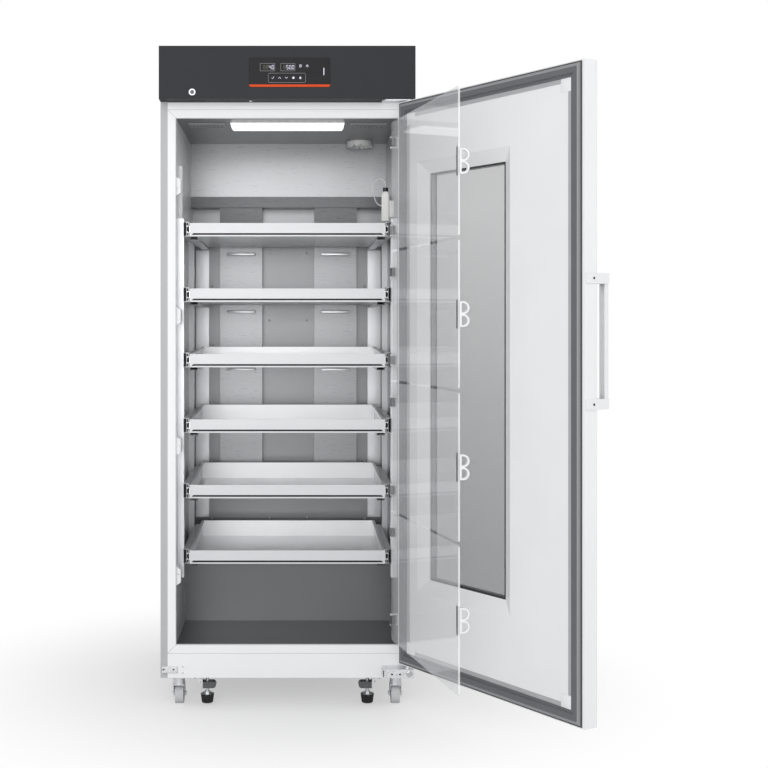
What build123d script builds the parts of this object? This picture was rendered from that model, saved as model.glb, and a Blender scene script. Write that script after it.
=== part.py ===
from build123d import *
import math
import os

# Blood bank refrigerator: one tall cabinet, a swinging outer door with a window, four clear
# inner doors, six shallow drawers on telescopic slides, and casters.
# Millimetres, +Z up. The origin is on the floor under the middle of the cabinet.
# The front faces -Y. The doors are drawn standing open, and the drawers shut.

# Cabinet body
body_width = 770.0
body_depth = 740.0
ground_clearance = 93.0
kick_height = 74.0
frame_face = 26.0
frame_thickness = 12.0
frame_bevel = 2.0
side_return = 21.0
opening_height = 1600.0
header_height = 23.0
head_height = 159.0
head_overhang = 54.0
sheet = 2.0
side_hem = 14.0
interior_depth = 640.0

# Step over the machine compartment
step_front_depth = 320.0
step_height = 219.0
step_wall = 47.0

# Head with its control panel
fascia_wall = 3.0
fascia_edge_radius = 3.0
panel_width = 242.6
panel_height = 80.3
panel_depth = 26.0
panel_plate = 4.0
panel_proud = 1.5
panel_offset = 7.5
panel_top_margin = 36.0
panel_corner_radius = 6.0
panel_clearance = 0.4
accent_height = 7.0
accent_depth = 4.0
window_width = 44.0
window_height = 22.0
window_spacing = 61.5
window_drop = 17.0
window_left_inset = 33.0
key_frame_width = 112.0
key_frame_height = 29.0
key_frame_drop = 45.5
key_frame_left_inset = 57.0
key_frame_line = 1.5
panel_relief = 0.8

# Key lock
lock_offset = 284.5
lock_height = 20.0
lock_flange_radius = 10.0
lock_barrel_radius = 8.5
lock_barrel_length = 20.0
lock_flange_thickness = 2.5
plug_radius = 6.5
key_slot_width = 1.8
key_slot_length = 8.0
cam_length = 28.0
cam_width = 11.0
cam_thickness = 3.0
cam_slot_margin = 3.0
strike_depth = 16.0

# Door switch
switch_offset = 110.0
switch_length = 29.0
switch_width = 16.0
switch_depth = 9.0
switch_setback = 27.0
plunger_radius = 4.0
plunger_reach = 4.0

# Outer door
door_thickness = 46.0
door_side_gap = 1.0
door_top_gap = 7.5
door_bottom_gap = 12.5
door_edge_radius = 5.0
door_skin = 1.5
window_rim_width = 16.0
door_open_angle = 123.0
hinge_inset = 21.0
hinge_forward = 30.0
hinge_pin_radius = 5.0
hinge_pin_length = 22.0
liner_gap = 8.0
liner_thickness = 3.0
liner_inset = 20.0
liner_clearance = 0.3
bevel_width = 37.0
bevel_depth = 18.5
window_hinge_margin = 92.0
window_span = 401.0
window_rise = 1270.0
window_bottom_margin = 233.5
glass_lap = 9.0
glass_thickness = 22.0
pane_thickness = 4.0
spacer_width = 14.0
outer_skin = 5.0
gasket_inset = 9.0
gasket_end_inset = 3.5
gasket_width = 36.0
gasket_base = 3.0
gasket_bulb_width = 20.0
gasket_seal_gap = 0.5

# Outer door handle
handle_length = 347.0
handle_rise = 781.5
handle_bar_width = 20.0
handle_bar_depth = 16.0
handle_standoff = 29.0
handle_edge_inset = 3.0
handle_bracket_height = 27.0
handle_bracket_thickness = 4.0
handle_wall = 2.5

# Outer door hinge brackets
bracket_width = 95.0
bracket_depth = 48.0
bracket_drop = 26.0
bracket_sheet = 3.0
bracket_side_inset = 4.0
bracket_rise = 38.0
upper_plate = 3.5
spacer_ring_width = 4.0
cover_plate_width = 48.0
cover_plate_height = 20.0

# Inner doors
inner_door_count = 4
inner_door_wall_gap = 34.0
inner_door_height = 388.0
inner_door_pitch = 396.3
inner_door_floor_gap = 12.0
inner_door_thickness = 5.0
inner_door_setback = 24.0
inner_door_corner = 4.0
inner_door_open_angle = 102.0
inner_hinge_wall_gap = 20.0
inner_hinge_edge_gap = 8.0
inner_hinge_end_inset = 60.0
inner_pin_radius = 2.5
barrel_radius = 5.0
barrel_length = 26.0
clip_length = 20.0
clip_wall = 2.5
ear_height = 4.0
ear_gap = 0.4
ear_reach = 4.0
hinge_base = 2.5
hinge_base_width = 22.0
pull_height = 66.0
pull_reach = 26.0
pull_thickness = 10.0
pull_wall = 4.5
strike_plate_height = 75.0
strike_plate_width = 11.0
strike_plate_thickness = 1.5

# Catches on the left wall
catch_rail_width = 9.5
catch_rail_depth = 16.0
catch_rail_setback = 110.0
catch_rail_base = 184.0
catch_rail_height = 1285.0
catch_height = 57.0
catch_width = 13.0
catch_setback = 13.0
catch_depth = 27.0
catch_slope = 9.0

# Drawers and their telescopic slides
drawer_count = 6
drawer_pitch = 201.2
lowest_drawer_height = 238.0
drawer_setback = 45.0
drawer_depth = 523.0
drawer_front_height = 41.0
drawer_back_height = 55.0
drawer_sheet = 1.5
drawer_rim = 9.0
drawer_lip_height = 4.4
drawer_groove = 5.6
drawer_groove_depth = 12.0
drawer_groove_end = 6.0
runner_width = 23.5
runner_drop = 9.0
runner_setback = 20.0
drawer_travel = 440.0
slide_length = 500.0
slide_height = 45.0
slide_thickness = 19.0
slide_reach = 10.0
slide_sheet = 1.4
slide_clearance = 0.5
slide_gap = 0.5
lever_length = 18.0
lever_height = 8.0
lever_rise = 36.0
upright_depth = 30.0
upright_reach = 18.0
upright_wall = 2.0
upright_front = 70.0
upright_rear = 470.0
upright_base = 191.0
upright_height = 1110.0
upright_slot = 40.0

# Fittings inside the cabinet
lamp_wall_gap = 161.0
lamp_height = 9.0
lamp_depth = 120.0
lamp_setback = 77.0
lamp_base = 3.0
vent_length = 115.0
vent_height = 4.0
vent_depth = 76.0
vent_wall_gap = 29.0
vent_setback = 97.0
vent_border = 6.0
vent_ribs = 8
guard_radius = 44.0
guard_height = 19.0
guard_wall = 12.0
guard_notch = 6.0
guard_wall_gap = 92.0
guard_setback = 500.0
guard_notches = 12
cover_setback = 550.0
cover_height = 219.0
cover_slant_height = 36.0
cover_slant_depth = 12.0
duct_front = 600.0
duct_width = 148.0
duct_offset = 165.0
duct_bottom = 363.0
duct_slope_height = 74.0
duct_slope_depth = 23.0
duct_slot_width = 99.0
duct_slot_height = 10.0
duct_slot_drop = 24.0
rear_strip_width = 46.0
rear_strip_inset = 35.0
rear_strip_height = 940.0
rear_strip_base = 296.0
rear_strip_thickness = 8.0
coil_depth = 50.0
coil_fins = 10
coil_side_margin = 60.0
coil_top_margin = 30.0
coil_bottom_margin = 40.0
coil_wall_gap = 8.0

# Sensor bottle and its lead
bottle_width = 25.0
bottle_height = 94.0
bottle_wall_gap = 13.0
bottle_setback = 200.0
bottle_base = 1303.0
bottle_shoulder = 9.0
bottle_corner = 4.0
cap_radius = 8.5
cap_height = 13.0
lead_radius = 1.5
lead_sides = 8
lead_points = [
    (313.0, -170.0, 1603.0),
    (313.0, -170.0, 1617.0),
    (304.0, -172.0, 1631.0),
    (288.0, -174.0, 1632.5),
    (275.0, -176.0, 1619.5),
    (271.0, -176.0, 1600.0),
    (274.0, -175.0, 1581.0),
    (279.0, -173.0, 1564.0),
    (287.0, -171.0, 1550.0),
    (300.5, -170.0, 1544.5),
]

# Casters and levelling feet
caster_inset = 53.0
caster_setback = 40.0
caster_trail = 22.0
caster_plate = 4.0
caster_plate_width = 70.0
caster_plate_length = 64.0
race_radius = 20.0
race_clearance = 0.4
wheel_radius = 30.0
wheel_width = 26.0
wheel_bore_radius = 4.0
axle_clearance = 0.05
fork_sheet = 2.5
fork_gap = 2.0
rear_caster_setback = 680.0
foot_inset = 139.5
foot_setback = 45.0
foot_pad_radius = 20.75
foot_pad_taper = 3.75
foot_pad_height = 27.0
foot_lift = 7.0
foot_stem_radius = 5.0
foot_stem_margin = 12.0
foot_nut_radius = 9.0
foot_nut_height = 7.0
foot_notches = 14
foot_notch_depth = 2.0
foot_boss_length = 40.5
foot_boss_height = 19.5
foot_boss_depth = 30.0
foot_boss_drop = 21.0
foot_stem_inset = 13.5
foot_plate_width = 14.0
foot_plate_height = 27.0
foot_plate_wall = 3.0

# Machine compartment
compressor_radius = 78.0
compressor_height = 170.0
compressor_offset = 150.0
compressor_lift = 20.0
compressor_crown = 34.0
compressor_foot = 18.0
machine_setback = 190.0
condenser_width = 230.0
condenser_depth = 70.0
condenser_height = 200.0
condenser_fins = 12
condenser_inset = 60.0
fan_radius = 84.0
fan_depth = 25.0
grille_slots = 14
grille_slot_height = 6.0
grille_margin = 30.0
grille_side_margin = 40.0
grille_gap = 40.0
grille_offset = 40.0
grille_end_margin = 140.0
inlet_width = 50.0
inlet_height = 30.0
inlet_inset = 70.0
inlet_rise = 70.0
inlet_flange = 8.0
inlet_wall = 4.0
inlet_depth = 26.0

# Places worked out from the sizes above
half_width = body_width / 2
front_y = -body_depth / 2
rear_y = body_depth / 2
base_z = ground_clearance
frame_base_z = base_z + kick_height
floor_z = frame_base_z + frame_face
ceiling_z = floor_z + opening_height
frame_top_z = ceiling_z + frame_face
head_z = frame_top_z + header_height
top_z = head_z + head_height
frame_half = half_width - side_return
half_opening = frame_half - frame_face
rear_wall_y = front_y + interior_depth
step_y = front_y + step_front_depth
step_z = floor_z + step_height
compartment_y = step_y + step_wall
compartment_z = step_z - step_wall
fascia_y = front_y - head_overhang
panel_z = top_z - panel_top_margin - panel_height
lock_z = head_z + lock_height
bracket_z = base_z + bracket_rise
door_base_z = bracket_z + door_bottom_gap
door_top_z = head_z - door_top_gap
door_half = half_width - door_side_gap
door_in_y = front_y - liner_gap
door_out_y = door_in_y - door_thickness
hinge_x = half_width - hinge_inset
hinge_y = front_y - hinge_forward
window_right_x = door_half - window_hinge_margin
window_left_x = window_right_x - window_span
window_base_z = door_base_z + window_bottom_margin
window_top_z = window_base_z + window_rise
glass_y = door_in_y - bevel_depth
inner_hinge_x = half_opening - inner_hinge_wall_gap
inner_hinge_y = front_y + inner_door_setback
inner_door_left = -half_opening + inner_door_wall_gap
inner_door_right = inner_hinge_x - inner_hinge_edge_gap
upright_x = half_opening - upright_reach
slide_x = upright_x - slide_thickness
drawer_half = slide_x - slide_gap
lamp_length = 2 * (half_opening - lamp_wall_gap)
vent_offset = half_opening - vent_wall_gap - vent_length / 2
guard_offset = half_opening - guard_wall_gap
rear_strip_offset = half_opening - rear_strip_inset
caster_offset = half_width - caster_inset
foot_offset = half_width - foot_inset
cap_z = floor_z + bottle_base + bottle_height
handle_z = frame_base_z + handle_rise
machine_y = rear_y - machine_setback


def block(x_from, x_to, y_from, y_to, z_from, z_to):
    """A cuboid between six faces."""
    size = Box(x_to - x_from, y_to - y_from, z_to - z_from)
    return Pos((x_from + x_to) / 2, (y_from + y_to) / 2, (z_from + z_to) / 2) * size


def across(points, x_from, x_to):
    """A profile of (y, z) points, drawn out along X."""
    face = Plane.YZ.offset(x_from) * Polygon(*points, align=None)
    return extrude(face, amount=x_to - x_from, dir=(1, 0, 0))


def along(points, y_from, y_to):
    """A profile of (x, z) points, drawn out along Y."""
    face = Plane.XZ.offset(-y_from) * Polygon(*points, align=None)
    return extrude(face, amount=y_to - y_from, dir=(0, 1, 0))


def upward(points, z_from, z_to):
    """A profile of (x, y) points, drawn out along Z."""
    face = Plane.XY.offset(z_from) * Polygon(*points, align=None)
    return extrude(face, amount=z_to - z_from, dir=(0, 0, 1))


def post(radius, x, y, z_from, z_to):
    """An upright round bar."""
    return Pos(x, y, (z_from + z_to) / 2) * Cylinder(radius, z_to - z_from)


def rod_x(radius, y, z, x_from, x_to):
    """A round bar along X."""
    return Pos((x_from + x_to) / 2, y, z) * Rot(0, 90, 0) * Cylinder(radius, x_to - x_from)


def rod_y(radius, x, z, y_from, y_to):
    """A round bar along Y."""
    return Pos(x, (y_from + y_to) / 2, z) * Rot(90, 0, 0) * Cylinder(radius, y_to - y_from)


def rounded_slab(width, height, depth, radius, x, y, z):
    """A plate in the XZ plane with rounded corners, from its lower middle at its front face."""
    face = Plane.XZ * RectangleRounded(width, height, radius)
    return Pos(x, y, z + height / 2) * extrude(face, amount=-depth)


def window_taper(x_from, x_to, z_from, z_to, shrink, y_from, y_to):
    """A four-sided taper between an outer rectangle at y_from and one shrunk all round at y_to."""
    x_mid = (x_from + x_to) / 2
    z_mid = (z_from + z_to) / 2
    wide = Rectangle(x_to - x_from, z_to - z_from)
    narrow = Rectangle(x_to - x_from - 2 * shrink, z_to - z_from - 2 * shrink)
    outer = Plane.XZ.offset(-y_from) * Pos(x_mid, z_mid) * wide
    inner = Plane.XZ.offset(-y_to) * Pos(x_mid, z_mid) * narrow
    return loft([outer.face(), inner.face()])


def mirrored(solid):
    """The same solid on the other side of the cabinet."""
    return mirror(solid, about=Plane.YZ)


def both_sides(solid):
    """A solid and its mirror image."""
    return [solid, mirrored(solid)]


def swing_outer(solid):
    """Turns a piece of the closed outer door to where it stands open."""
    return solid.rotate(Axis((hinge_x, hinge_y, 0), (0, 0, 1)), door_open_angle)


def swing_inner(solid):
    """Turns a piece of a closed inner door to where it stands open."""
    return solid.rotate(Axis((inner_hinge_x, inner_hinge_y, 0), (0, 0, 1)), inner_door_open_angle)


def drawer_z(number):
    """The underside of a drawer, counted from the top one, 0."""
    return floor_z + lowest_drawer_height + (drawer_count - 1 - number) * drawer_pitch


def inner_door_z(number):
    """The lower edge of an inner door, counted from the top one, 0."""
    return floor_z + inner_door_floor_gap + (inner_door_count - 1 - number) * inner_door_pitch


def outer_shell():
    """The folded steel sheets of the cabinet's outside."""
    flange = half_width - frame_half
    side = upward(
        [
            (half_width, front_y),
            (half_width, rear_y),
            (half_width - side_hem, rear_y),
            (half_width - side_hem, rear_y - sheet),
            (half_width - sheet, rear_y - sheet),
            (half_width - sheet, front_y + sheet),
            (half_width - flange, front_y + sheet),
            (half_width - flange, front_y),
        ],
        base_z,
        top_z,
    )
    inside = half_width - sheet
    rear_inside = rear_y - sheet
    top = across(
        [
            (front_y, top_z),
            (rear_inside, top_z),
            (rear_inside, top_z - side_hem),
            (rear_inside - sheet, top_z - side_hem),
            (rear_inside - sheet, top_z - sheet),
            (front_y, top_z - sheet),
        ],
        -inside,
        inside,
    )
    top -= block(frame_half, half_width, front_y, front_y + sheet, top_z - side_hem, top_z)
    top -= block(-half_width, -frame_half, front_y, front_y + sheet, top_z - side_hem, top_z)
    back_half = half_width - side_hem
    back = block(-back_half, back_half, rear_inside, rear_y, compartment_z, top_z)
    head_floor = block(-inside, inside, front_y + sheet, rear_inside - sheet, head_z - sheet, head_z)
    head_floor = head_floor - block(-back_half, back_half, rear_inside - sheet, rear_y, base_z, top_z)
    pan = block(-inside, inside, front_y + 2 * sheet, rear_inside - sheet, base_z, base_z + sheet)
    wall = block(-inside, inside, compartment_y - sheet, compartment_y, base_z + sheet, compartment_z - sheet)
    lid = block(-inside, inside, compartment_y - sheet, rear_inside, compartment_z - sheet, compartment_z)
    return both_sides(side) + [top, back, head_floor, pan, wall, lid]


def lining_profile(wall):
    """The (y, z) outline of the inside of the cabinet with its step, let out by a wall."""
    liner_front = front_y + frame_thickness
    return [
        (liner_front, floor_z - wall),
        (step_y + wall, floor_z - wall),
        (step_y + wall, step_z - wall),
        (rear_wall_y + wall, step_z - wall),
        (rear_wall_y + wall, ceiling_z + wall),
        (liner_front, ceiling_z + wall),
    ]


def insulation():
    """The foam between the outer shell and the liner, open where the machine compartment is."""
    side = half_width - sheet
    foam_front = front_y + frame_thickness
    foam = block(-side, side, foam_front, rear_y - sheet, base_z + sheet, head_z - sheet)
    liner_half = half_opening + sheet
    foam -= across(lining_profile(sheet), -liner_half, liner_half)
    foam -= block(-side, side, compartment_y - sheet, rear_y, base_z, compartment_z)
    return [foam]


def inner_liner():
    """The stainless lining: walls, ceiling, floor, and the step over the machine compartment."""
    liner_front = front_y + frame_thickness
    wall = across(lining_profile(sheet), half_opening, half_opening + sheet)
    ceiling = block(-half_opening, half_opening, liner_front, rear_wall_y, ceiling_z, ceiling_z + sheet)
    floor = block(-half_opening, half_opening, liner_front, step_y + sheet, floor_z - sheet, floor_z)
    riser = block(-half_opening, half_opening, step_y, step_y + sheet, floor_z, step_z - sheet)
    tread = block(-half_opening, half_opening, step_y, rear_wall_y, step_z - sheet, step_z)
    back = block(-half_opening, half_opening, rear_wall_y, rear_wall_y + sheet, step_z - sheet, ceiling_z + sheet)
    return both_sides(wall) + [ceiling, floor, riser, tread, back]


def frame_bar(corners, inner_axis, inner_end):
    """One mitred bar of the frame from its (x, z) corners, its inner front edge bevelled."""
    bar = along(corners, front_y, front_y + frame_thickness)
    front_edges = bar.edges().group_by(Axis.Y)[0]
    return chamfer(front_edges.group_by(inner_axis)[inner_end], length=frame_bevel)


def front_frame():
    """The mitred frame around the opening, which the gasket closes on, and the rail above it."""
    low = (floor_z - frame_face, floor_z)
    high = (ceiling_z + frame_face, ceiling_z)
    bottom = frame_bar(
        [(-frame_half, low[0]), (frame_half, low[0]), (half_opening, low[1]), (-half_opening, low[1])],
        Axis.Z,
        -1,
    )
    top = frame_bar(
        [(-frame_half, high[0]), (frame_half, high[0]), (half_opening, high[1]), (-half_opening, high[1])],
        Axis.Z,
        0,
    )
    side = frame_bar(
        [(frame_half, low[0]), (frame_half, high[0]), (half_opening, high[1]), (half_opening, low[1])],
        Axis.X,
        0,
    )
    header = block(-frame_half, frame_half, front_y, front_y + frame_thickness, frame_top_z, head_z - sheet)
    return [bottom, top] + both_sides(side) + [header]


def kick_panel():
    """The plain panel below the opening, folded back along its two long edges."""
    fold = frame_thickness
    profile = [
        (front_y, base_z),
        (front_y + fold, base_z),
        (front_y + fold, base_z + sheet),
        (front_y + sheet, base_z + sheet),
        (front_y + sheet, frame_base_z - sheet),
        (front_y + fold, frame_base_z - sheet),
        (front_y + fold, frame_base_z),
        (front_y, frame_base_z),
    ]
    panel = across(profile, -frame_half, frame_half)
    pan_edge = block(-half_width, half_width, front_y + 2 * sheet, front_y + fold, base_z, base_z + sheet)
    return [panel - pan_edge]


def fascia_cover():
    """The dark moulding over the head, with its window, lock hole and cam slot."""
    outside = block(-half_width, half_width, fascia_y, front_y, head_z, top_z)
    front_edges = outside.edges().filter_by(Axis.Z).group_by(Axis.Y)[0]
    outside = fillet(front_edges, radius=fascia_edge_radius)
    inside = block(
        -half_width + fascia_wall,
        half_width - fascia_wall,
        fascia_y + fascia_wall,
        front_y + fascia_wall,
        head_z + fascia_wall,
        top_z - fascia_wall,
    )
    cover = outside - inside
    hole_width = panel_width + 2 * panel_clearance
    hole_height = panel_height + accent_height + 2 * panel_clearance
    cover -= rounded_slab(
        hole_width,
        hole_height,
        panel_depth,
        panel_corner_radius,
        panel_offset,
        fascia_y - fascia_wall,
        panel_z - accent_height - panel_clearance,
    )
    cover -= rod_y(lock_barrel_radius, -lock_offset, lock_z, fascia_y - 1, fascia_y + fascia_wall + 1)
    cover -= cam_opening(head_z - 1, head_z + fascia_wall + 1)
    cover -= switch_body(switch_length, switch_width, head_z - 1, head_z + fascia_wall + 1)
    return [cover]


def cam_opening(z_from, z_to):
    """The slot that the lock's cam swings through, with a margin all round the cam."""
    cam_y = fascia_y + lock_barrel_length + lock_flange_thickness
    return block(
        -lock_offset - cam_width / 2 - cam_slot_margin,
        -lock_offset + cam_length + cam_width / 2 + cam_slot_margin,
        cam_y - cam_slot_margin,
        cam_y + cam_thickness + cam_slot_margin,
        z_from,
        z_to,
    )


def panel_outline(depth):
    """The rounded outline that the control panel and its accent strip share."""
    return rounded_slab(
        panel_width,
        panel_height + accent_height,
        depth,
        panel_corner_radius,
        panel_offset,
        fascia_y - panel_proud,
        panel_z - accent_height,
    )


def control_panel():
    """The display unit: a plate with two sunk windows and a sunk frame for its touch keys."""
    front = fascia_y - panel_proud
    plate = panel_outline(panel_depth) & block(-half_width, half_width, front, front_y, panel_z, top_z)
    left = panel_offset - panel_width / 2
    right = panel_offset + panel_width / 2
    high = panel_z + panel_height
    back = front + panel_plate
    wall = fascia_wall
    plate -= block(left + wall, right - wall, back, front_y, panel_z + wall, high - wall)
    sunk = front + panel_relief
    for number in range(2):
        x = left + window_left_inset + number * window_spacing
        z = high - window_drop - window_height
        plate -= block(x, x + window_width, front - 1, sunk, z, z + window_height)
    x = left + key_frame_left_inset
    z = high - key_frame_drop - key_frame_height
    line = key_frame_line
    rim = block(x, x + key_frame_width, front - 1, sunk, z, z + key_frame_height)
    rim -= block(x + line, x + key_frame_width - line, front - 2, front_y, z + line, z + key_frame_height - line)
    return [plate - rim]


def accent_strip():
    """The coloured trim along the lower edge of the control panel."""
    front = fascia_y - panel_proud
    low = panel_z - accent_height
    return [panel_outline(accent_depth) & block(-half_width, half_width, front, front_y, low, panel_z)]


def lock_cylinder():
    """The fixed part of the key lock: a round flange and a barrel through the fascia."""
    flange = rod_y(lock_flange_radius, -lock_offset, lock_z, fascia_y - lock_flange_thickness, fascia_y)
    barrel = rod_y(lock_barrel_radius, -lock_offset, lock_z, fascia_y, fascia_y + lock_barrel_length)
    bore = rod_y(
        plug_radius + axle_clearance,
        -lock_offset,
        lock_z,
        fascia_y - 2 * lock_flange_thickness,
        fascia_y + lock_barrel_length + 1,
    )
    return [flange + barrel - bore]


def lock_plug():
    """The turning plug of the lock with its key slot, and the cam behind it."""
    front = fascia_y - lock_flange_thickness - 0.3
    cam_y = fascia_y + lock_barrel_length + lock_flange_thickness
    plug = rod_y(plug_radius, -lock_offset, lock_z, front, cam_y)
    plug -= block(
        -lock_offset - key_slot_width / 2,
        -lock_offset + key_slot_width / 2,
        front - 1,
        front + lock_barrel_length / 2,
        lock_z - key_slot_length / 2,
        lock_z + key_slot_length / 2,
    )
    face = Plane.XZ * Pos(cam_length / 2, 0) * SlotCenterToCenter(cam_length, cam_width)
    cam = Pos(-lock_offset, cam_y, lock_z) * extrude(face, amount=-cam_thickness)
    return [plug + cam]


def switch_body(length, width, z_from, z_to):
    """The outline of the door switch between two heights."""
    y = front_y - switch_setback
    x = -switch_offset
    return block(x - length / 2, x + length / 2, y - width / 2, y + width / 2, z_from, z_to)


def door_switch():
    """The switch housing under the head, with a bore for its plunger."""
    housing = switch_body(switch_length - 0.6, switch_width - 0.6, head_z - 1, head_z + switch_depth)
    bore = post(plunger_radius + axle_clearance, -switch_offset, front_y - switch_setback, head_z - 2, head_z + 2 * switch_depth)
    return [housing - bore]


def door_switch_plunger():
    """The sprung button that the top of the door reaches."""
    tip = head_z - plunger_reach
    button = post(plunger_radius, -switch_offset, front_y - switch_setback, tip, head_z + switch_depth - 1)
    return [button]


def door_outline(inset, y_from, y_to, end_inset=None):
    """The outer door's rectangle, drawn in by an inset, which may differ at its two ends."""
    ends = inset if end_inset is None else end_inset
    return block(
        -door_half + inset,
        door_half - inset,
        y_from,
        y_to,
        door_base_z + ends,
        door_top_z - ends,
    )


def door_cavity():
    """The hollow of the door, round the blocks that carry the window, hinges, lock and handle."""
    cavity = door_outline(door_skin, door_out_y + door_skin, door_in_y - door_skin)
    rim = window_rim_width
    cavity -= block(
        window_left_x + bevel_width - glass_lap - rim,
        window_right_x - bevel_width + glass_lap + rim,
        door_out_y,
        door_in_y,
        window_base_z + bevel_width - glass_lap - rim,
        window_top_z - bevel_width + glass_lap + rim,
    )
    reach = hinge_pin_length + 10
    for low, high in ((door_base_z, door_base_z + reach), (door_top_z - reach, door_top_z)):
        cavity -= block(hinge_x - 15, door_half, door_out_y, door_in_y, low, high)
    strike = strike_depth + door_skin
    cavity -= block(
        -lock_offset - cam_width,
        -lock_offset + cam_length + cam_width,
        door_out_y,
        door_in_y,
        door_top_z - strike,
        door_top_z,
    )
    return cavity


def door_shell():
    """The folded steel door with its window opening, hinge sockets and lock strike."""
    shell = door_outline(0, door_out_y, door_in_y)
    outer_edges = shell.edges().filter_by(Axis.Z).group_by(Axis.Y)[0]
    shell = fillet(outer_edges, radius=door_edge_radius)
    shell -= door_cavity()
    shell -= door_outline(liner_inset - liner_clearance, door_in_y - liner_thickness, door_in_y + 1)
    shell -= window_taper(
        window_left_x - liner_thickness,
        window_right_x + liner_thickness,
        window_base_z - liner_thickness,
        window_top_z + liner_thickness,
        bevel_width,
        door_in_y,
        glass_y,
    )
    inner = bevel_width - glass_lap
    shell -= block(
        window_left_x + inner,
        window_right_x - inner,
        glass_y - glass_thickness,
        glass_y + 1,
        window_base_z + inner,
        window_top_z - inner,
    )
    shell -= block(
        window_left_x + bevel_width,
        window_right_x - bevel_width,
        door_out_y - 1,
        glass_y,
        window_base_z + bevel_width,
        window_top_z - bevel_width,
    )
    for height in (door_base_z, door_top_z):
        shell -= post(
            hinge_pin_radius + axle_clearance,
            hinge_x,
            hinge_y,
            height - hinge_pin_length - 2,
            height + hinge_pin_length + 2,
        )
    shell -= cam_opening(door_top_z - strike_depth, door_top_z + 1)
    return [swing_outer(shell)]


def door_liner():
    """The white inner panel of the door, which bevels in to the window."""
    panel = door_outline(liner_inset, door_in_y - liner_thickness, door_in_y)
    bevel = window_taper(
        window_left_x - liner_thickness,
        window_right_x + liner_thickness,
        window_base_z - liner_thickness,
        window_top_z + liner_thickness,
        bevel_width,
        door_in_y,
        glass_y,
    )
    hollow = window_taper(
        window_left_x,
        window_right_x,
        window_base_z,
        window_top_z,
        bevel_width,
        door_in_y,
        glass_y,
    )
    return [swing_outer(panel + bevel - hollow)]


def gasket_ring(step_in, width, y_from, y_to):
    """One layer of the door gasket, which lies nearer to the door's ends than to its sides."""
    side = gasket_inset + step_in
    end = gasket_end_inset + step_in
    ring = door_outline(side, y_from, y_to, end)
    return ring - door_outline(side + width, y_from - 1, y_to + 1, end + width)


def door_gasket():
    """The magnetic gasket: a flat foot with a bulb along its middle."""
    foot = gasket_ring(0, gasket_width, door_in_y, door_in_y + gasket_base)
    bulb_inset = (gasket_width - gasket_bulb_width) / 2
    bulb = gasket_ring(
        bulb_inset,
        gasket_bulb_width,
        door_in_y + gasket_base,
        front_y - gasket_seal_gap,
    )
    bulb = chamfer(bulb.edges().group_by(Axis.Y)[-1], length=2)
    return [swing_outer(foot + bulb)]


def window_glass():
    """The sealed window: two panes and the spacer between their edges."""
    inner = bevel_width - glass_lap
    left = window_left_x + inner
    right = window_right_x - inner
    low = window_base_z + inner
    high = window_top_z - inner
    back = glass_y - glass_thickness
    near_pane = block(left, right, glass_y - pane_thickness, glass_y, low, high)
    far_pane = block(left, right, back, back + pane_thickness, low, high)
    spacer = block(left, right, back + pane_thickness, glass_y - pane_thickness, low, high)
    spacer -= block(
        left + spacer_width,
        right - spacer_width,
        back,
        glass_y,
        low + spacer_width,
        high - spacer_width,
    )
    return [swing_outer(piece) for piece in (near_pane, far_pane, spacer)]


def door_handle():
    """The grip: a hollow rounded bar on two brackets that wrap the free edge of the door."""
    bar_left = -door_half + handle_edge_inset
    bar_right = bar_left + handle_bar_width
    bar_out = door_out_y - handle_standoff - handle_bar_depth
    bar_in = bar_out + handle_bar_depth
    high = handle_z + handle_length
    bar = block(bar_left, bar_right, bar_out, bar_in, handle_z, high)
    outer_edges = bar.edges().filter_by(Axis.Z).group_by(Axis.Y)[0]
    bar = fillet(outer_edges, radius=handle_bar_depth / 2.5)
    wall = handle_wall
    bar -= block(bar_left + wall, bar_right - wall, bar_out + wall, bar_in + 1, handle_z + wall, high - wall)
    pieces = [bar]
    for z in (handle_z, high - handle_bracket_height):
        edge = -door_half
        outline = upward(
            [
                (edge, door_in_y),
                (edge - handle_bracket_thickness, door_in_y),
                (edge - handle_bracket_thickness, bar_out + handle_bar_depth / 2),
                (bar_left, bar_out + handle_bar_depth / 2),
                (bar_left, bar_in),
                (bar_right, bar_in),
                (bar_right - 2 * wall, door_out_y),
                (edge, door_out_y),
            ],
            z,
            z + handle_bracket_height,
        )
        pieces.append(outline)
    return [swing_outer(piece) for piece in pieces]


def hinge_brackets():
    """What carries the outer door: the folded lower bracket, the upper plate and their pins."""
    left = half_width - bracket_side_inset - bracket_width
    right = half_width - bracket_side_inset
    out = front_y - bracket_depth
    low = bracket_z - bracket_drop
    lower = across(
        [
            (front_y, bracket_z),
            (out, bracket_z),
            (out, low),
            (out + bracket_sheet, low),
            (out + bracket_sheet, bracket_z - bracket_sheet),
            (front_y - bracket_sheet, bracket_z - bracket_sheet),
            (front_y - bracket_sheet, low),
            (front_y, low),
        ],
        left,
        right,
    )
    lower += post(hinge_pin_radius, hinge_x, hinge_y, bracket_z - bracket_sheet, door_base_z + hinge_pin_length)
    ring = post(hinge_pin_radius + spacer_ring_width, hinge_x, hinge_y, bracket_z, door_base_z - 0.4)
    ring -= post(hinge_pin_radius, hinge_x, hinge_y, bracket_z - 1, door_base_z)
    upper = block(left, right, out, front_y, head_z - upper_plate, head_z)
    upper = chamfer(upper.edges().filter_by(Axis.Z).group_by(Axis.Y)[0], length=10)
    upper += post(hinge_pin_radius, hinge_x, hinge_y, door_top_z - hinge_pin_length, head_z)
    plate_right = -half_width + bracket_side_inset + cover_plate_width
    plate_z = bracket_z - bracket_sheet - cover_plate_height
    plate = block(
        -half_width + bracket_side_inset,
        plate_right,
        front_y - 2 * bracket_sheet,
        front_y,
        plate_z,
        plate_z + cover_plate_height,
    )
    plate = chamfer(plate.edges().group_by(Axis.Y)[0], length=2)
    return [lower, ring, upper, plate]


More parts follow.
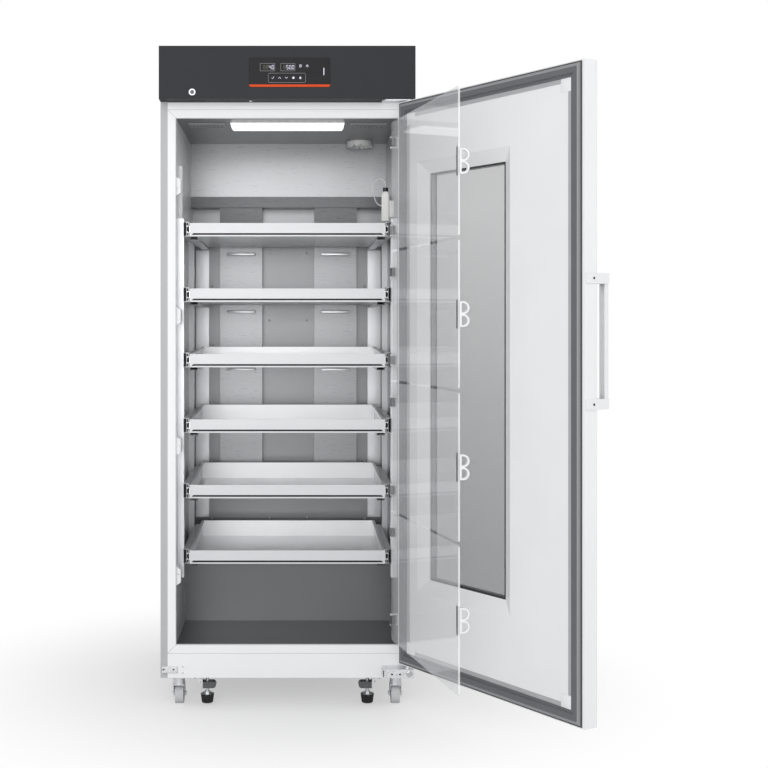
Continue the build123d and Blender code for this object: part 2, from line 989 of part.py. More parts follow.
def inner_door(number):
    """One clear inner door, a sheet with its corners cut."""
    low = inner_door_z(number)
    panel = block(
        inner_door_left,
        inner_door_right,
        inner_hinge_y - inner_door_thickness / 2,
        inner_hinge_y + inner_door_thickness / 2,
        low,
        low + inner_door_height,
    )
    panel = chamfer(panel.edges().filter_by(Axis.Y), length=inner_door_corner)
    return [swing_inner(panel)]


def hinge_heights(number):
    """The middles of an inner door's two hinges."""
    low = inner_door_z(number) + inner_hinge_end_inset
    high = inner_door_z(number) + inner_door_height - inner_hinge_end_inset
    return (low, high)


def loop_outline(half_height, reach, flat):
    """The D shape of one finger loop: a half round on a short straight part, from a flat side."""
    centre = half_height - reach
    straight = Pos((centre - flat) / 2, 0) * Rectangle(-centre - flat, 2 * half_height)
    bounds = Pos((-reach - flat) / 2, 0) * Rectangle(reach - flat, 2 * half_height)
    return (straight + Pos(centre, 0) * Circle(half_height)) & bounds


def pull(number):
    """The pull of an inner door, which has two finger loops, one over the other."""
    middle = inner_door_z(number) + inner_door_height / 2
    front = inner_hinge_y - inner_door_thickness / 2
    loop = pull_height / 2
    profile = Sketch()
    for side in (-1, 1):
        profile += Pos(0, side * loop / 2) * loop_outline(loop / 2, pull_reach, 0)
    for side in (-1, 1):
        profile -= Pos(0, side * loop / 2) * loop_outline(loop / 2 - pull_wall, pull_reach - pull_wall, pull_wall)
    solid = extrude(Plane.YZ * profile, amount=pull_thickness, dir=(1, 0, 0))
    return Pos(inner_door_left, front, middle) * solid


def inner_door_fittings(number):
    """The pull, the strike plate and the two hinge clips of one inner door."""
    middle = inner_door_z(number) + inner_door_height / 2
    panel_back = inner_hinge_y + inner_door_thickness / 2
    panel_front = inner_hinge_y - inner_door_thickness / 2
    plate = block(
        inner_door_left,
        inner_door_left + strike_plate_width,
        panel_back,
        panel_back + strike_plate_thickness,
        middle - strike_plate_height / 2,
        middle + strike_plate_height / 2,
    )
    pieces = [pull(number), plate]
    for z in hinge_heights(number):
        low = z - barrel_length / 2
        high = z + barrel_length / 2
        clip = block(
            inner_door_right - clip_length,
            inner_hinge_x + barrel_radius,
            panel_front - clip_wall,
            panel_back + clip_wall,
            low,
            high,
        )
        clip -= block(
            inner_door_right - clip_length - 1,
            inner_door_right,
            panel_front,
            panel_back,
            low - 1,
            high + 1,
        )
        clip = chamfer(clip.edges().filter_by(Axis.Z).group_by(Axis.X)[-1], length=clip_wall)
        clip -= post(inner_pin_radius + axle_clearance, inner_hinge_x, inner_hinge_y, low - 1, high + 1)
        pieces.append(clip)
    return [swing_inner(piece) for piece in pieces]


def inner_hinges():
    """The wall brackets of the inner doors, each with two ears and a pin."""
    brackets = []
    for number in range(inner_door_count):
        for z in hinge_heights(number):
            low = z - barrel_length / 2 - ear_gap
            high = z + barrel_length / 2 + ear_gap
            bracket = block(
                half_opening - hinge_base,
                half_opening,
                inner_hinge_y - 2 * ear_reach,
                inner_hinge_y - 2 * ear_reach + hinge_base_width,
                low - ear_height,
                high + ear_height,
            )
            bracket += post(inner_pin_radius, inner_hinge_x, inner_hinge_y, low, high)
            for edge in (low - ear_height, high):
                bracket += block(
                    inner_hinge_x - ear_reach,
                    half_opening,
                    inner_hinge_y - ear_reach,
                    inner_hinge_y + ear_reach,
                    edge,
                    edge + ear_height,
                )
            brackets.append(bracket)
    return brackets


def door_catches():
    """The upright rail on the left wall, and the four catches that hold the inner doors."""
    rail_z = floor_z + catch_rail_base
    rail_y = front_y + catch_rail_setback
    rail = block(
        -half_opening,
        -half_opening + catch_rail_width,
        rail_y,
        rail_y + catch_rail_depth,
        rail_z,
        rail_z + catch_rail_height,
    )
    pieces = [rail]
    catch_y = front_y + catch_setback
    half = catch_height / 2
    for number in range(inner_door_count):
        middle = inner_door_z(number) + inner_door_height / 2
        body = along(
            [
                (-half_opening, middle - half),
                (-half_opening + catch_width, middle - half + catch_slope),
                (-half_opening + catch_width, middle + half - catch_slope),
                (-half_opening, middle + half),
            ],
            catch_y,
            catch_y + catch_depth,
        )
        pieces.append(body)
    return pieces


def channel(x_near, x_far, height, middle, wall, y_from, y_to):
    """A rolled slide channel that is open towards x_near, with its lips turned in."""
    lip = height * 0.2
    low = middle - height / 2
    high = middle + height / 2
    step = wall if x_far > x_near else -wall
    points = [
        (x_near, low),
        (x_far, low),
        (x_far, high),
        (x_near, high),
        (x_near, high - lip),
        (x_near + step, high - lip),
        (x_near + step, high - wall),
        (x_far - step, high - wall),
        (x_far - step, low + wall),
        (x_near + step, low + wall),
        (x_near + step, low + lip),
        (x_near, low + lip),
    ]
    return along(points, y_from, y_to)


def slide_middle_height(number):
    """The level of a drawer's slides."""
    return drawer_z(number) + slide_height / 2


def slide_member(level, number):
    """One right-hand member of a drawer slide: 0 on the cabinet, 1 between, 2 on the drawer."""
    y_from = front_y + drawer_setback + 3
    y_to = y_from + slide_length
    middle = slide_middle_height(number)
    wall = slide_sheet
    if level == 0:
        return channel(slide_x + 1, upright_x, slide_height, middle, wall, y_from, y_to)
    race = wall + slide_clearance
    reach = slide_x + slide_reach
    if level == 1:
        height = slide_height - 2 * race
        return channel(slide_x + 1 + race, reach, height, middle, wall, y_from, y_to)
    height = 0.6 * (slide_height - 2 * race) - 2 * race
    return channel(reach - race - slide_clearance, drawer_half, height, middle, wall, y_from, y_to)


def fixed_slides():
    """The cabinet members of the twelve slides, on the uprights."""
    pieces = []
    for number in range(drawer_count):
        pieces += both_sides(slide_member(0, number))
    return pieces


def slide_middle(number):
    """The middle members of one drawer's two slides."""
    return both_sides(slide_member(1, number))


def runner(low, y_from, y_to):
    """The folded runner under one edge of a drawer."""
    wall = drawer_sheet
    inner = drawer_half - runner_width
    foot_z = low - runner_drop
    return along(
        [
            (inner, low),
            (inner, foot_z),
            (drawer_half, foot_z),
            (drawer_half, low),
            (drawer_half - wall, low),
            (drawer_half - wall, foot_z + wall),
            (inner + wall, foot_z + wall),
            (inner + wall, low),
        ],
        y_from,
        y_to,
    )


def drawer(number):
    """One shallow drawer: a folded tray with a grip groove along its front, and its slide members."""
    low = drawer_z(number)
    front = front_y + drawer_setback
    back = front + drawer_depth
    wall = drawer_sheet
    lip_z = low + drawer_lip_height
    groove_z = lip_z + drawer_groove
    groove_y = front + drawer_groove_depth
    tray = across(
        [
            (front, low),
            (back, low),
            (back, low + drawer_back_height),
            (front, low + drawer_front_height),
        ],
        -drawer_half,
        drawer_half,
    )
    tray -= across(
        [
            (groove_y + wall, low + wall),
            (back - wall, low + wall),
            (back - wall, low + drawer_back_height + 1),
            (front + wall, low + drawer_back_height + 1),
            (front + wall, groove_z + wall),
            (groove_y + wall, groove_z + wall),
        ],
        -drawer_half + wall,
        drawer_half - wall,
    )
    low_end = drawer_half - drawer_groove_end
    high_end = low_end - drawer_groove
    tray -= along(
        [(-low_end, lip_z), (low_end, lip_z), (high_end, groove_z), (-high_end, groove_z)],
        front - 1,
        groove_y,
    )
    slope = (drawer_back_height - drawer_front_height) / drawer_depth
    near_z = low + drawer_front_height + slope * wall
    far_z = low + drawer_back_height - slope * wall
    rim = across(
        [(front + wall, near_z - wall), (back - wall, far_z - wall), (back - wall, far_z), (front + wall, near_z)],
        drawer_half - drawer_rim,
        drawer_half - wall,
    )
    tray += rim + mirrored(rim)
    strip = runner(low, front + runner_setback, back)
    tray += strip + mirrored(strip)
    lever_y = front + 3
    lever_low = low + lever_rise
    lever_far = slide_x + slide_gap + slide_clearance - 0.1
    lever = block(drawer_half, lever_far, lever_y, lever_y + lever_length, lever_low, lever_low + lever_height)
    return [tray] + both_sides(slide_member(2, number)) + both_sides(lever)


def side_uprights():
    """The slotted posts that carry the slides, and the flat strips in the rear corners."""
    wall = upright_wall
    pieces = []
    high = floor_z + upright_base + upright_height
    for setback, base in ((upright_front, floor_z + upright_base), (upright_rear, step_z)):
        near = front_y + setback
        far = near + upright_depth
        profile = [
            (half_opening, near),
            (upright_x, near),
            (upright_x, far),
            (half_opening, far),
            (half_opening, far - wall),
            (upright_x + wall, far - wall),
            (upright_x + wall, near + wall),
            (half_opening, near + wall),
        ]
        post_piece = upward(profile, base, high)
        for number in range(drawer_count):
            middle = drawer_z(number) + drawer_pitch / 2
            post_piece -= block(
                upright_x - 1,
                upright_x + wall + 1,
                near + upright_depth * 0.4,
                near + upright_depth * 0.6,
                middle - upright_slot / 2,
                middle + upright_slot / 2,
            )
        pieces += both_sides(post_piece)
    strip = block(
        rear_strip_offset - rear_strip_width / 2,
        rear_strip_offset + rear_strip_width / 2,
        rear_wall_y - rear_strip_thickness,
        rear_wall_y,
        floor_z + rear_strip_base,
        floor_z + rear_strip_base + rear_strip_height,
    )
    return pieces + both_sides(strip)


def ceiling_lamp():
    """The flat lamp under the front of the ceiling: a base and a lens with slanted ends."""
    near = front_y + lamp_setback
    far = near + lamp_depth
    half = lamp_length / 2
    step_z = ceiling_z - lamp_base
    lens_z = ceiling_z - lamp_height
    base = block(-half, half, near, far, step_z, ceiling_z)
    slant = lamp_height - lamp_base
    lens = along(
        [(-half, step_z), (half, step_z), (half - slant, lens_z), (-half + slant, lens_z)],
        near + lamp_base / 2,
        far - lamp_base / 2,
    )
    return [base, lens]


def ceiling_vents():
    """Two flat air grilles beside the lamp, and a notched ring under the rear air outlet."""
    near = front_y + vent_setback
    half = vent_length / 2
    low = ceiling_z - vent_height
    body = block(vent_offset - half, vent_offset + half, near, near + vent_depth, low, ceiling_z)
    pitch = (vent_length - 2 * vent_border) / vent_ribs
    for number in range(vent_ribs):
        x = vent_offset - half + vent_border + pitch * (number + 0.5)
        body -= block(
            x - pitch / 4,
            x + pitch / 4,
            near + vent_border,
            near + vent_depth - vent_border,
            low - 1,
            ceiling_z - vent_height / 4,
        )
    ring_y = front_y + guard_setback
    ring_z = ceiling_z - guard_height
    ring = post(guard_radius, guard_offset, ring_y, ring_z, ceiling_z)
    ring -= post(guard_radius - guard_wall, guard_offset, ring_y, ring_z - 1, ceiling_z + 1)
    notch = Pos(guard_radius - guard_wall / 2, 0, 0) * Box(2 * guard_wall, guard_notch, 2 * guard_notch)
    for number in range(guard_notches):
        turn = Rot(0, 0, 360 / guard_notches * number)
        ring -= Pos(guard_offset, ring_y, ring_z) * turn * notch
    return both_sides(body) + [ring]


def evaporator_cover():
    """The folded cover over the cooling coil at the top of the rear wall."""
    front = front_y + cover_setback
    low = ceiling_z - cover_height
    profile = [
        (front, ceiling_z),
        (front, low + cover_slant_height),
        (front + cover_slant_depth, low),
        (rear_wall_y, low),
        (rear_wall_y, low + sheet),
        (front + cover_slant_depth + sheet, low + sheet),
        (front + sheet, low + cover_slant_height + 1),
        (front + sheet, ceiling_z),
    ]
    cover = across(profile, -half_opening, half_opening)
    half_ring = guard_radius + 4
    ring_y = front_y + guard_setback
    if ring_y + half_ring > front:
        cover -= post(half_ring, guard_offset, ring_y, ceiling_z - 2 * guard_height, ceiling_z + 1)
    return [cover]


def air_ducts():
    """The two slotted air ducts that run down the rear wall."""
    top = ceiling_z - cover_height
    low = floor_z + duct_bottom
    near = front_y + duct_front
    slope_z = top - duct_slope_height

    def outline(wall):
        return [
            (rear_wall_y, low + wall),
            (near + wall, low + wall),
            (near + wall, slope_z),
            (near - duct_slope_depth + wall, top - wall),
            (rear_wall_y, top - wall),
        ]

    half = duct_width / 2
    duct = across(outline(0), duct_offset - half, duct_offset + half)
    duct -= across(outline(sheet), duct_offset - half + sheet, duct_offset + half - sheet)
    for number in range(drawer_count - 1):
        z = drawer_z(number) - duct_slot_drop
        if z - duct_slot_height > low:
            duct -= block(
                duct_offset - duct_slot_width / 2,
                duct_offset + duct_slot_width / 2,
                near - 1,
                near + 2 * sheet,
                z - duct_slot_height / 2,
                z + duct_slot_height / 2,
            )
    return both_sides(duct)


def evaporator():
    """The finned cooling coil behind its cover."""
    half = half_opening - coil_side_margin
    far = rear_wall_y - coil_wall_gap
    near = far - coil_depth
    low = ceiling_z - cover_height + coil_bottom_margin
    high = ceiling_z - coil_top_margin
    coil = block(-half, half, near, far, low, high)
    pitch = 2 * half / coil_fins
    for number in range(coil_fins):
        x = -half + pitch * (number + 0.5)
        coil -= block(x - pitch * 0.3, x + pitch * 0.3, near - 1, near + coil_depth * 0.4, low - 1, high + 1)
    return [coil]


def cut_square(width, corner):
    """A square with its corners cut."""
    half = width / 2
    return chamfer(Rectangle(width, width).vertices(), length=min(corner, half / 2))


def sensor_bottle():
    """The glycol bottle that the temperature sensor sits in, its black cap and its holder."""
    right = half_opening - bottle_wall_gap
    left = right - bottle_width
    middle = (left + right) / 2
    y = front_y + bottle_setback
    low = floor_z + bottle_base
    wide = cut_square(bottle_width, bottle_corner)
    narrow = cut_square(2 * cap_radius, bottle_corner)
    shoulder_z = low + bottle_height - bottle_shoulder
    body = Pos(middle, y, low) * extrude(wide, amount=bottle_height - bottle_shoulder)
    sections = [Pos(middle, y, shoulder_z) * wide, Pos(middle, y, low + bottle_height) * narrow]
    body += loft([section.face() for section in sections], ruled=True)
    cap = post(cap_radius, middle, y, cap_z, cap_z + cap_height)
    holder = block(right, half_opening, y - bottle_width / 3, y + bottle_width / 3, low + cap_height, low + 5 * cap_height)
    return [body, cap, holder]


def lead_route():
    """The lead's path: straight runs joined by arcs as large as the runs allow."""
    points = [Vector(*point) for point in lead_points]
    radii = []
    for number in range(1, len(points) - 1):
        before = points[number] - points[number - 1]
        after = points[number + 1] - points[number]
        turn = before.get_angle(after)
        shorter = min(before.length, after.length)
        radii.append(0.45 * shorter / math.tan(math.radians(turn / 2)))
    print("lead radii", [round(radius, 1) for radius in radii])
    return FilletPolyline(*points, radius=radii)


def sensor_lead():
    """The thin lead that loops out of the bottle's cap and back to its side."""
    path = lead_route()
    section = Plane(origin=path @ 0, z_dir=path % 0) * RegularPolygon(lead_radius, lead_sides)
    lead = sweep(section, path=path)
    plain_volume = path.length * section.area
    print("lead length", round(path.length, 1), "volume ratio", round(lead.volume / plain_volume, 4))
    bottle_left = half_opening - bottle_wall_gap - bottle_width
    return [lead - block(bottle_left, half_opening, -half_width, half_width, floor_z, cap_z)]


def fork(x, swivel_y, wheel_y, race):
    """A caster fork with its axle, hanging from what carries it."""
    inside = wheel_width / 2 + fork_gap
    outside = inside + fork_sheet
    bridge_z = 2 * wheel_radius + 2 * fork_gap
    bridge_top = bridge_z + fork_sheet
    leg = across(
        [
            (swivel_y - race_radius, bridge_top),
            (swivel_y + race_radius, bridge_top),
            (wheel_y + 2 * wheel_bore_radius, wheel_radius),
            (wheel_y + wheel_bore_radius, wheel_radius - 2 * wheel_bore_radius),
            (wheel_y - wheel_bore_radius, wheel_radius - 2 * wheel_bore_radius),
            (wheel_y - 2 * wheel_bore_radius, wheel_radius),
        ],
        inside,
        outside,
    )
    bridge = block(-outside, outside, swivel_y - race_radius, swivel_y + race_radius, bridge_z, bridge_top)
    body = bridge + leg + mirrored(leg)
    body += race
    axle = rod_x(wheel_bore_radius, wheel_y, wheel_radius, -inside, inside)
    head = Pos(outside, wheel_y, wheel_radius) * Rot(0, 90, 0) * extrude(RegularPolygon(6, 6), amount=4)
    whole = body + axle + head + mirror(head, about=Plane.YZ)
    return Pos(x, 0, 0) * whole


def caster_fork(side):
    """A front caster's turning fork."""
    swivel_y = front_y + caster_setback
    bridge_z = 2 * wheel_radius + 2 * fork_gap
    race = post(race_radius - fork_sheet, 0, swivel_y, bridge_z, base_z - caster_plate - race_clearance)
    return [fork(side * caster_offset, swivel_y, swivel_y + caster_trail, race)]


def caster_wheel(x, y):
    """A caster wheel with its bore."""
    half = wheel_width / 2
    tread = rod_x(wheel_radius, y, wheel_radius, x - half, x + half)
    bore = rod_x(wheel_bore_radius + axle_clearance, y, wheel_radius, x - half - 1, x + half + 1)
    return [tread - bore]


def grip_outline(radius, z):
    """The notched outline of a levelling foot's grip at one height."""
    points = []
    for number in range(2 * foot_notches):
        angle = math.pi * number / foot_notches
        reach = radius * (1 - foot_notch_depth / foot_pad_radius * (number % 2))
        points.append((reach * math.cos(angle), reach * math.sin(angle)))
    return (Pos(0, 0, z) * Polygon(*points, align=None)).face()


def foot(side):
    """A levelling foot: a tapered notched grip on a threaded stem, with its nut."""
    top = foot_lift + foot_pad_height
    low = grip_outline(foot_pad_radius - foot_pad_taper, foot_lift)
    high = grip_outline(foot_pad_radius, top)
    pad = loft([low, high], ruled=True)
    nut = Pos(0, 0, top) * extrude(RegularPolygon(foot_nut_radius, 6), amount=foot_nut_height)
    stem = post(foot_stem_radius, 0, 0, top, base_z - foot_stem_margin)
    return [Pos(side * foot_offset, front_y + foot_setback, 0) * (pad + nut + stem)]


def caster_base(x, y):
    """The plate that carries a caster."""
    half_plate = caster_plate_width / 2
    half_length = caster_plate_length / 2
    low = base_z - caster_plate
    return block(x - half_plate, x + half_plate, y - half_length, y + half_length, low, base_z)


def base_brackets():
    """The plates under the base: for the casters, the rear forks and the levelling feet."""
    pieces = []
    for side in (-1, 1):
        x = side * caster_offset
        rear_wheel_y = front_y + rear_caster_setback
        pieces.append(caster_base(x, front_y + caster_setback))
        stand_low = 2 * wheel_radius + 2 * fork_gap
        stand = block(-race_radius, race_radius, rear_wheel_y - race_radius, rear_wheel_y + race_radius, stand_low, base_z)
        rear_fork = fork(x, rear_wheel_y, rear_wheel_y, stand)
        pieces.append(caster_base(x, rear_wheel_y) + rear_fork)
    return pieces + both_sides(foot_bracket())


def foot_bracket():
    """The folded bracket of the right-hand levelling foot, and the boss that its stem screws through."""
    y = front_y + foot_setback
    near = y - foot_boss_depth / 2
    far = y + foot_boss_depth / 2
    outer = foot_offset + foot_stem_inset
    high = base_z - foot_boss_drop
    radius = foot_boss_height / 2
    inner = outer - foot_boss_length + radius
    boss = block(inner, outer, near, far, high - foot_boss_height, high)
    boss += rod_y(radius, inner, high - radius, near, far)
    hanger = upward(
        [
            (outer, near),
            (outer + foot_plate_width, near),
            (outer + foot_plate_width, near + foot_plate_wall),
            (outer + foot_plate_wall, near + foot_plate_wall),
            (outer + foot_plate_wall, far),
            (outer, far),
        ],
        base_z - foot_plate_height,
        base_z,
    )
    bore = post(foot_stem_radius + axle_clearance, foot_offset, y, high - foot_boss_height - 1, high + 1)
    return boss + hanger - bore


def cooling_unit():
    """The compressor on its four feet, the condenser and its fan shroud, on the base pan."""
    z = base_z + sheet
    low = z + compressor_lift
    pot = post(compressor_radius, compressor_offset, machine_y, low, low + compressor_height)
    pot = chamfer(pot.edges().group_by(Axis.Z)[-1], length=compressor_crown)
    reach = compressor_radius * 0.7
    for x_side, y_side in ((-1, -1), (-1, 1), (1, -1), (1, 1)):
        foot_x = compressor_offset + x_side * reach
        foot_y = machine_y + y_side * reach
        half = compressor_foot / 2
        pot += block(foot_x - half, foot_x + half, foot_y - half, foot_y + half, z, z + 2 * compressor_lift)
    left = -half_width + condenser_inset
    near = machine_y - condenser_depth / 2
    far = machine_y + condenser_depth / 2
    high = z + condenser_height
    condenser = block(left, left + condenser_width, near, far, z, high)
    pitch = condenser_width / condenser_fins
    for number in range(condenser_fins):
        x = left + pitch * (number + 0.5)
        condenser -= block(x - pitch * 0.3, x + pitch * 0.3, near - 1, near + condenser_depth / 3, z - 1, high + 1)
    middle = left + condenser_width / 2
    fan_low = z + condenser_height / 2 - fan_radius
    condenser += block(middle - fan_radius, middle + fan_radius, far, far + fan_depth, fan_low, fan_low + 2 * fan_radius)
    return [pot, condenser]


def rear_cover():
    """The slotted cover of the machine compartment, with the mains inlet."""
    half = half_width - side_hem
    low = base_z + sheet
    high = compartment_z - sheet
    behind = rear_y - sheet
    cover = block(-half, half, behind, rear_y, low, high)
    pitch = (high - low - 2 * grille_margin) / grille_slots
    gap = grille_gap / 2
    for number in range(grille_slots):
        z = low + grille_margin + pitch * (number + 0.5)
        slot_low = z - grille_slot_height / 2
        slot_high = z + grille_slot_height / 2
        left_slot = (-half + grille_side_margin, -grille_offset - gap)
        right_slot = (-grille_offset + gap, half - grille_end_margin)
        for x_from, x_to in (left_slot, right_slot):
            cover -= block(x_from, x_to, behind - 1, rear_y + 1, slot_low, slot_high)
    x = half - inlet_inset
    z = low + inlet_rise
    body_half = inlet_width / 2 - inlet_flange
    body_high = z + inlet_height - 2 * inlet_wall
    cover -= block(x - body_half, x + body_half, behind - 1, rear_y + 1, z, body_high)
    flange_half = inlet_width / 2
    flange = block(x - flange_half, x + flange_half, rear_y, rear_y + inlet_wall, z - inlet_wall, body_high + inlet_wall)
    socket = block(x - body_half, x + body_half, rear_y - inlet_depth, rear_y, z, body_high)
    wall = inlet_wall
    hollow = block(
        x - body_half + wall,
        x + body_half - wall,
        rear_y - inlet_depth + wall,
        rear_y + wall + 1,
        z + wall,
        body_high - wall,
    )
    return [cover, flange + socket - hollow]


def save(name, solids):
    """Writes one sub-part, as one solid or a group of them."""
    flat = []
    for solid in solids:
        flat += solid.solids()
    shape = flat[0] if len(flat) == 1 else Compound(children=flat)
    shape.label = name
    export_step(shape, os.path.join("parts", name + ".step"))


def main():
    os.makedirs("parts", exist_ok=True)
    single = [
        outer_shell,
        insulation,
        inner_liner,
        front_frame,
        kick_panel,
        fascia_cover,
        control_panel,
        accent_strip,
        lock_cylinder,
        lock_plug,
        door_switch,
        door_switch_plunger,
        door_shell,
        door_liner,
        door_gasket,
        window_glass,
        door_handle,
        hinge_brackets,
        inner_hinges,
        door_catches,
        fixed_slides,
        side_uprights,
        ceiling_lamp,
        ceiling_vents,
        evaporator_cover,
        air_ducts,
        evaporator,
        sensor_bottle,
        sensor_lead,
        base_brackets,
        cooling_unit,
        rear_cover,
    ]
    for make in single:
        save(make.__name__, make())
    for number in range(inner_door_count):
        save(f"inner_door_{number + 1}", inner_door(number))
        save(f"inner_door_fittings_{number + 1}", inner_door_fittings(number))
    for number in range(drawer_count):
        save(f"drawer_{number + 1}", drawer(number))
        save(f"slide_middle_{number + 1}", slide_middle(number))
    wheel_y = front_y + caster_setback + caster_trail
    rear_wheel_y = front_y + rear_caster_setback
    for name, side in (("left", -1), ("right", 1)):
        save(f"caster_fork_{name}", caster_fork(side))
        save(f"caster_wheel_front_{name}", caster_wheel(side * caster_offset, wheel_y))
        save(f"caster_wheel_rear_{name}", caster_wheel(side * caster_offset, rear_wheel_y))
        save(f"foot_{name}", foot(side))


main()
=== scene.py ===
"""Blood bank refrigerator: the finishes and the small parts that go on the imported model."""
import math

import bmesh
import bpy
from bpy.props import FloatProperty, FloatVectorProperty, PointerProperty
from bpy.types import Operator, Panel, PropertyGroup
from mathutils import Matrix, Vector


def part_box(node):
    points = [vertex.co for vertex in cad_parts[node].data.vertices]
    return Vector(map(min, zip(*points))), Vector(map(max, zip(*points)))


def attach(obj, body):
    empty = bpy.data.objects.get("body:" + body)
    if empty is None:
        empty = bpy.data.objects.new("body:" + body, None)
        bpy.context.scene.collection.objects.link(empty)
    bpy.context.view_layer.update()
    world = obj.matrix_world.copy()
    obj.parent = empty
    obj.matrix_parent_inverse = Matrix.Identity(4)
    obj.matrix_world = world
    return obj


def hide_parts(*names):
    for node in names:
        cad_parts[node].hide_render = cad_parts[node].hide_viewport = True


bl_info = {
    "name": "Blood bank refrigerator",
    "version": (1, 0, 0),
    "blender": (4, 5, 0),
    "location": "3D View > Sidebar > Refrigerator",
    "description": "Finishes and fittings of a tall refrigerator with inner doors and drawers",
    "category": "Object",
}

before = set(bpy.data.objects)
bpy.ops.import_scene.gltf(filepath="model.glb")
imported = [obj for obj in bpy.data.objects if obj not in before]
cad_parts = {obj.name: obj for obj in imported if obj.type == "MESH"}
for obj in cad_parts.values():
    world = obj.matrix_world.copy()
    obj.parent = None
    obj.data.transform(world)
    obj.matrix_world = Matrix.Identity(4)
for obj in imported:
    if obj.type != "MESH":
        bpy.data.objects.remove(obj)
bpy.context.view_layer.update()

DRAWERS = 6
INNER_DOORS = 4
SOFT_EDGE = math.radians(35)
HINGE = Vector((0.364, -0.400, 0.0))
DOOR_TURN = math.radians(123)
INNER_HINGE = Vector((0.318, -0.346, 0.0))
INNER_TURN = math.radians(102)

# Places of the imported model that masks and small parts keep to, in metres.
FRONT = -0.370
OPENING_HALF, OPENING_LOW, OPENING_HIGH = 0.338, 0.193, 1.793
FRAME_HALF, FRAME_LOW, FRAME_HIGH = 0.364, 0.167, 1.819
SKIN = 0.0005
STEP_TOP = 0.410
LOWEST_DRAWER, DRAWER_PITCH = 0.431, 0.2012
INNER_DOOR_PITCH = 0.3963
KEY_HEIGHT, LIGHT_HEIGHT = 1.9047, 1.9403

# How thick the lit figures and the marks on a face are, and how fine brushed steel is.
FIGURE = 0.0006
MARK = 0.0004
SEAM = 0.0001
BRUSH_STRETCH = 0.03
BRUSH_DEPTH = 0.012

# The sockets of a Mix node that take and give colours.
MIX_FIRST, MIX_SECOND, MIX_RESULT = 6, 7, 2


def screen_colour(red, green, blue):
    """A colour from screen values of 0 to 255, in the linear values that shaders take."""
    values = []
    for part in (red, green, blue):
        part = part / 255
        values.append(part / 12.92 if part <= 0.04045 else ((part + 0.055) / 1.055) ** 2.4)
    return tuple(values)


def grey(value, green=1, blue=3):
    """A grey with a trace of blue, from its screen value."""
    return screen_colour(value, value + green, value + blue)


def shade(colour, factor):
    """A colour made lighter or darker."""
    return tuple(min(1.0, part * factor) for part in colour)


def colour_property(name, description, *screen):
    """A colour that the panel shows."""
    return FloatVectorProperty(
        name=name,
        description=description,
        subtype="COLOR",
        size=3,
        min=0.0,
        max=1.0,
        default=screen_colour(*screen),
    )


def length_property(name, description, metres):
    """A length that the panel shows."""
    return FloatProperty(
        name=name, description=description, default=metres, min=0.0, unit="LENGTH"
    )


class RefrigeratorColours(PropertyGroup):
    """The colours of the refrigerator's finishes."""

    shell: colour_property("Shell", "Painted sheet of the sides, top and back", 178, 179, 181)
    white: colour_property("White paint", "Frame, kick panel and outer door", 236, 237, 238)
    moulding: colour_property("White moulding", "Inside of the door and fittings", 232, 233, 234)
    fascia: colour_property("Fascia", "Dark moulding of the head", 46, 47, 50)
    panel: colour_property("Control panel", "Gloss face of the control panel", 20, 20, 23)
    trim: colour_property("Trim", "Strip along the control panel", 214, 76, 30)
    steel: colour_property("Stainless steel", "Lining, ducts and cover", 152, 153, 155)
    tray: colour_property("Drawer steel", "Brushed steel of the drawers", 240, 241, 242)
    rubber: colour_property("Gasket", "Grey rubber of the door gasket", 96, 97, 100)
    digits: colour_property("Digits", "Lit figures and symbols of the display", 214, 212, 232)
    glass: colour_property("Window", "Tint of the window's panes", 118, 121, 124)


class RefrigeratorSizes(PropertyGroup):
    """The sizes of the refrigerator's small parts."""

    digit_height: length_property("Digit height", "Height of the display's figures", 0.0125)
    outline_width: length_property("Outline width", "Width of the panel's lines", 0.0011)
    screw_radius: length_property("Screw radius", "Radius of the small screw heads", 0.0034)
    seam_width: length_property("Seam width", "Width of the seams in the paint", 0.0009)
    lead_diameter: length_property("Lead diameter", "Thickness of the sensor's lead", 0.003)


def colours():
    """The colour settings of the scene."""
    return bpy.context.scene.refrigerator_colours


def sizes():
    """The size settings of the scene."""
    return bpy.context.scene.refrigerator_sizes


def fill(node, **values):
    """Sets a node's inputs by their labels, in which an underscore stands for a space."""
    for label, value in values.items():
        node.inputs[label.replace("_", " ")].default_value = value
    return node


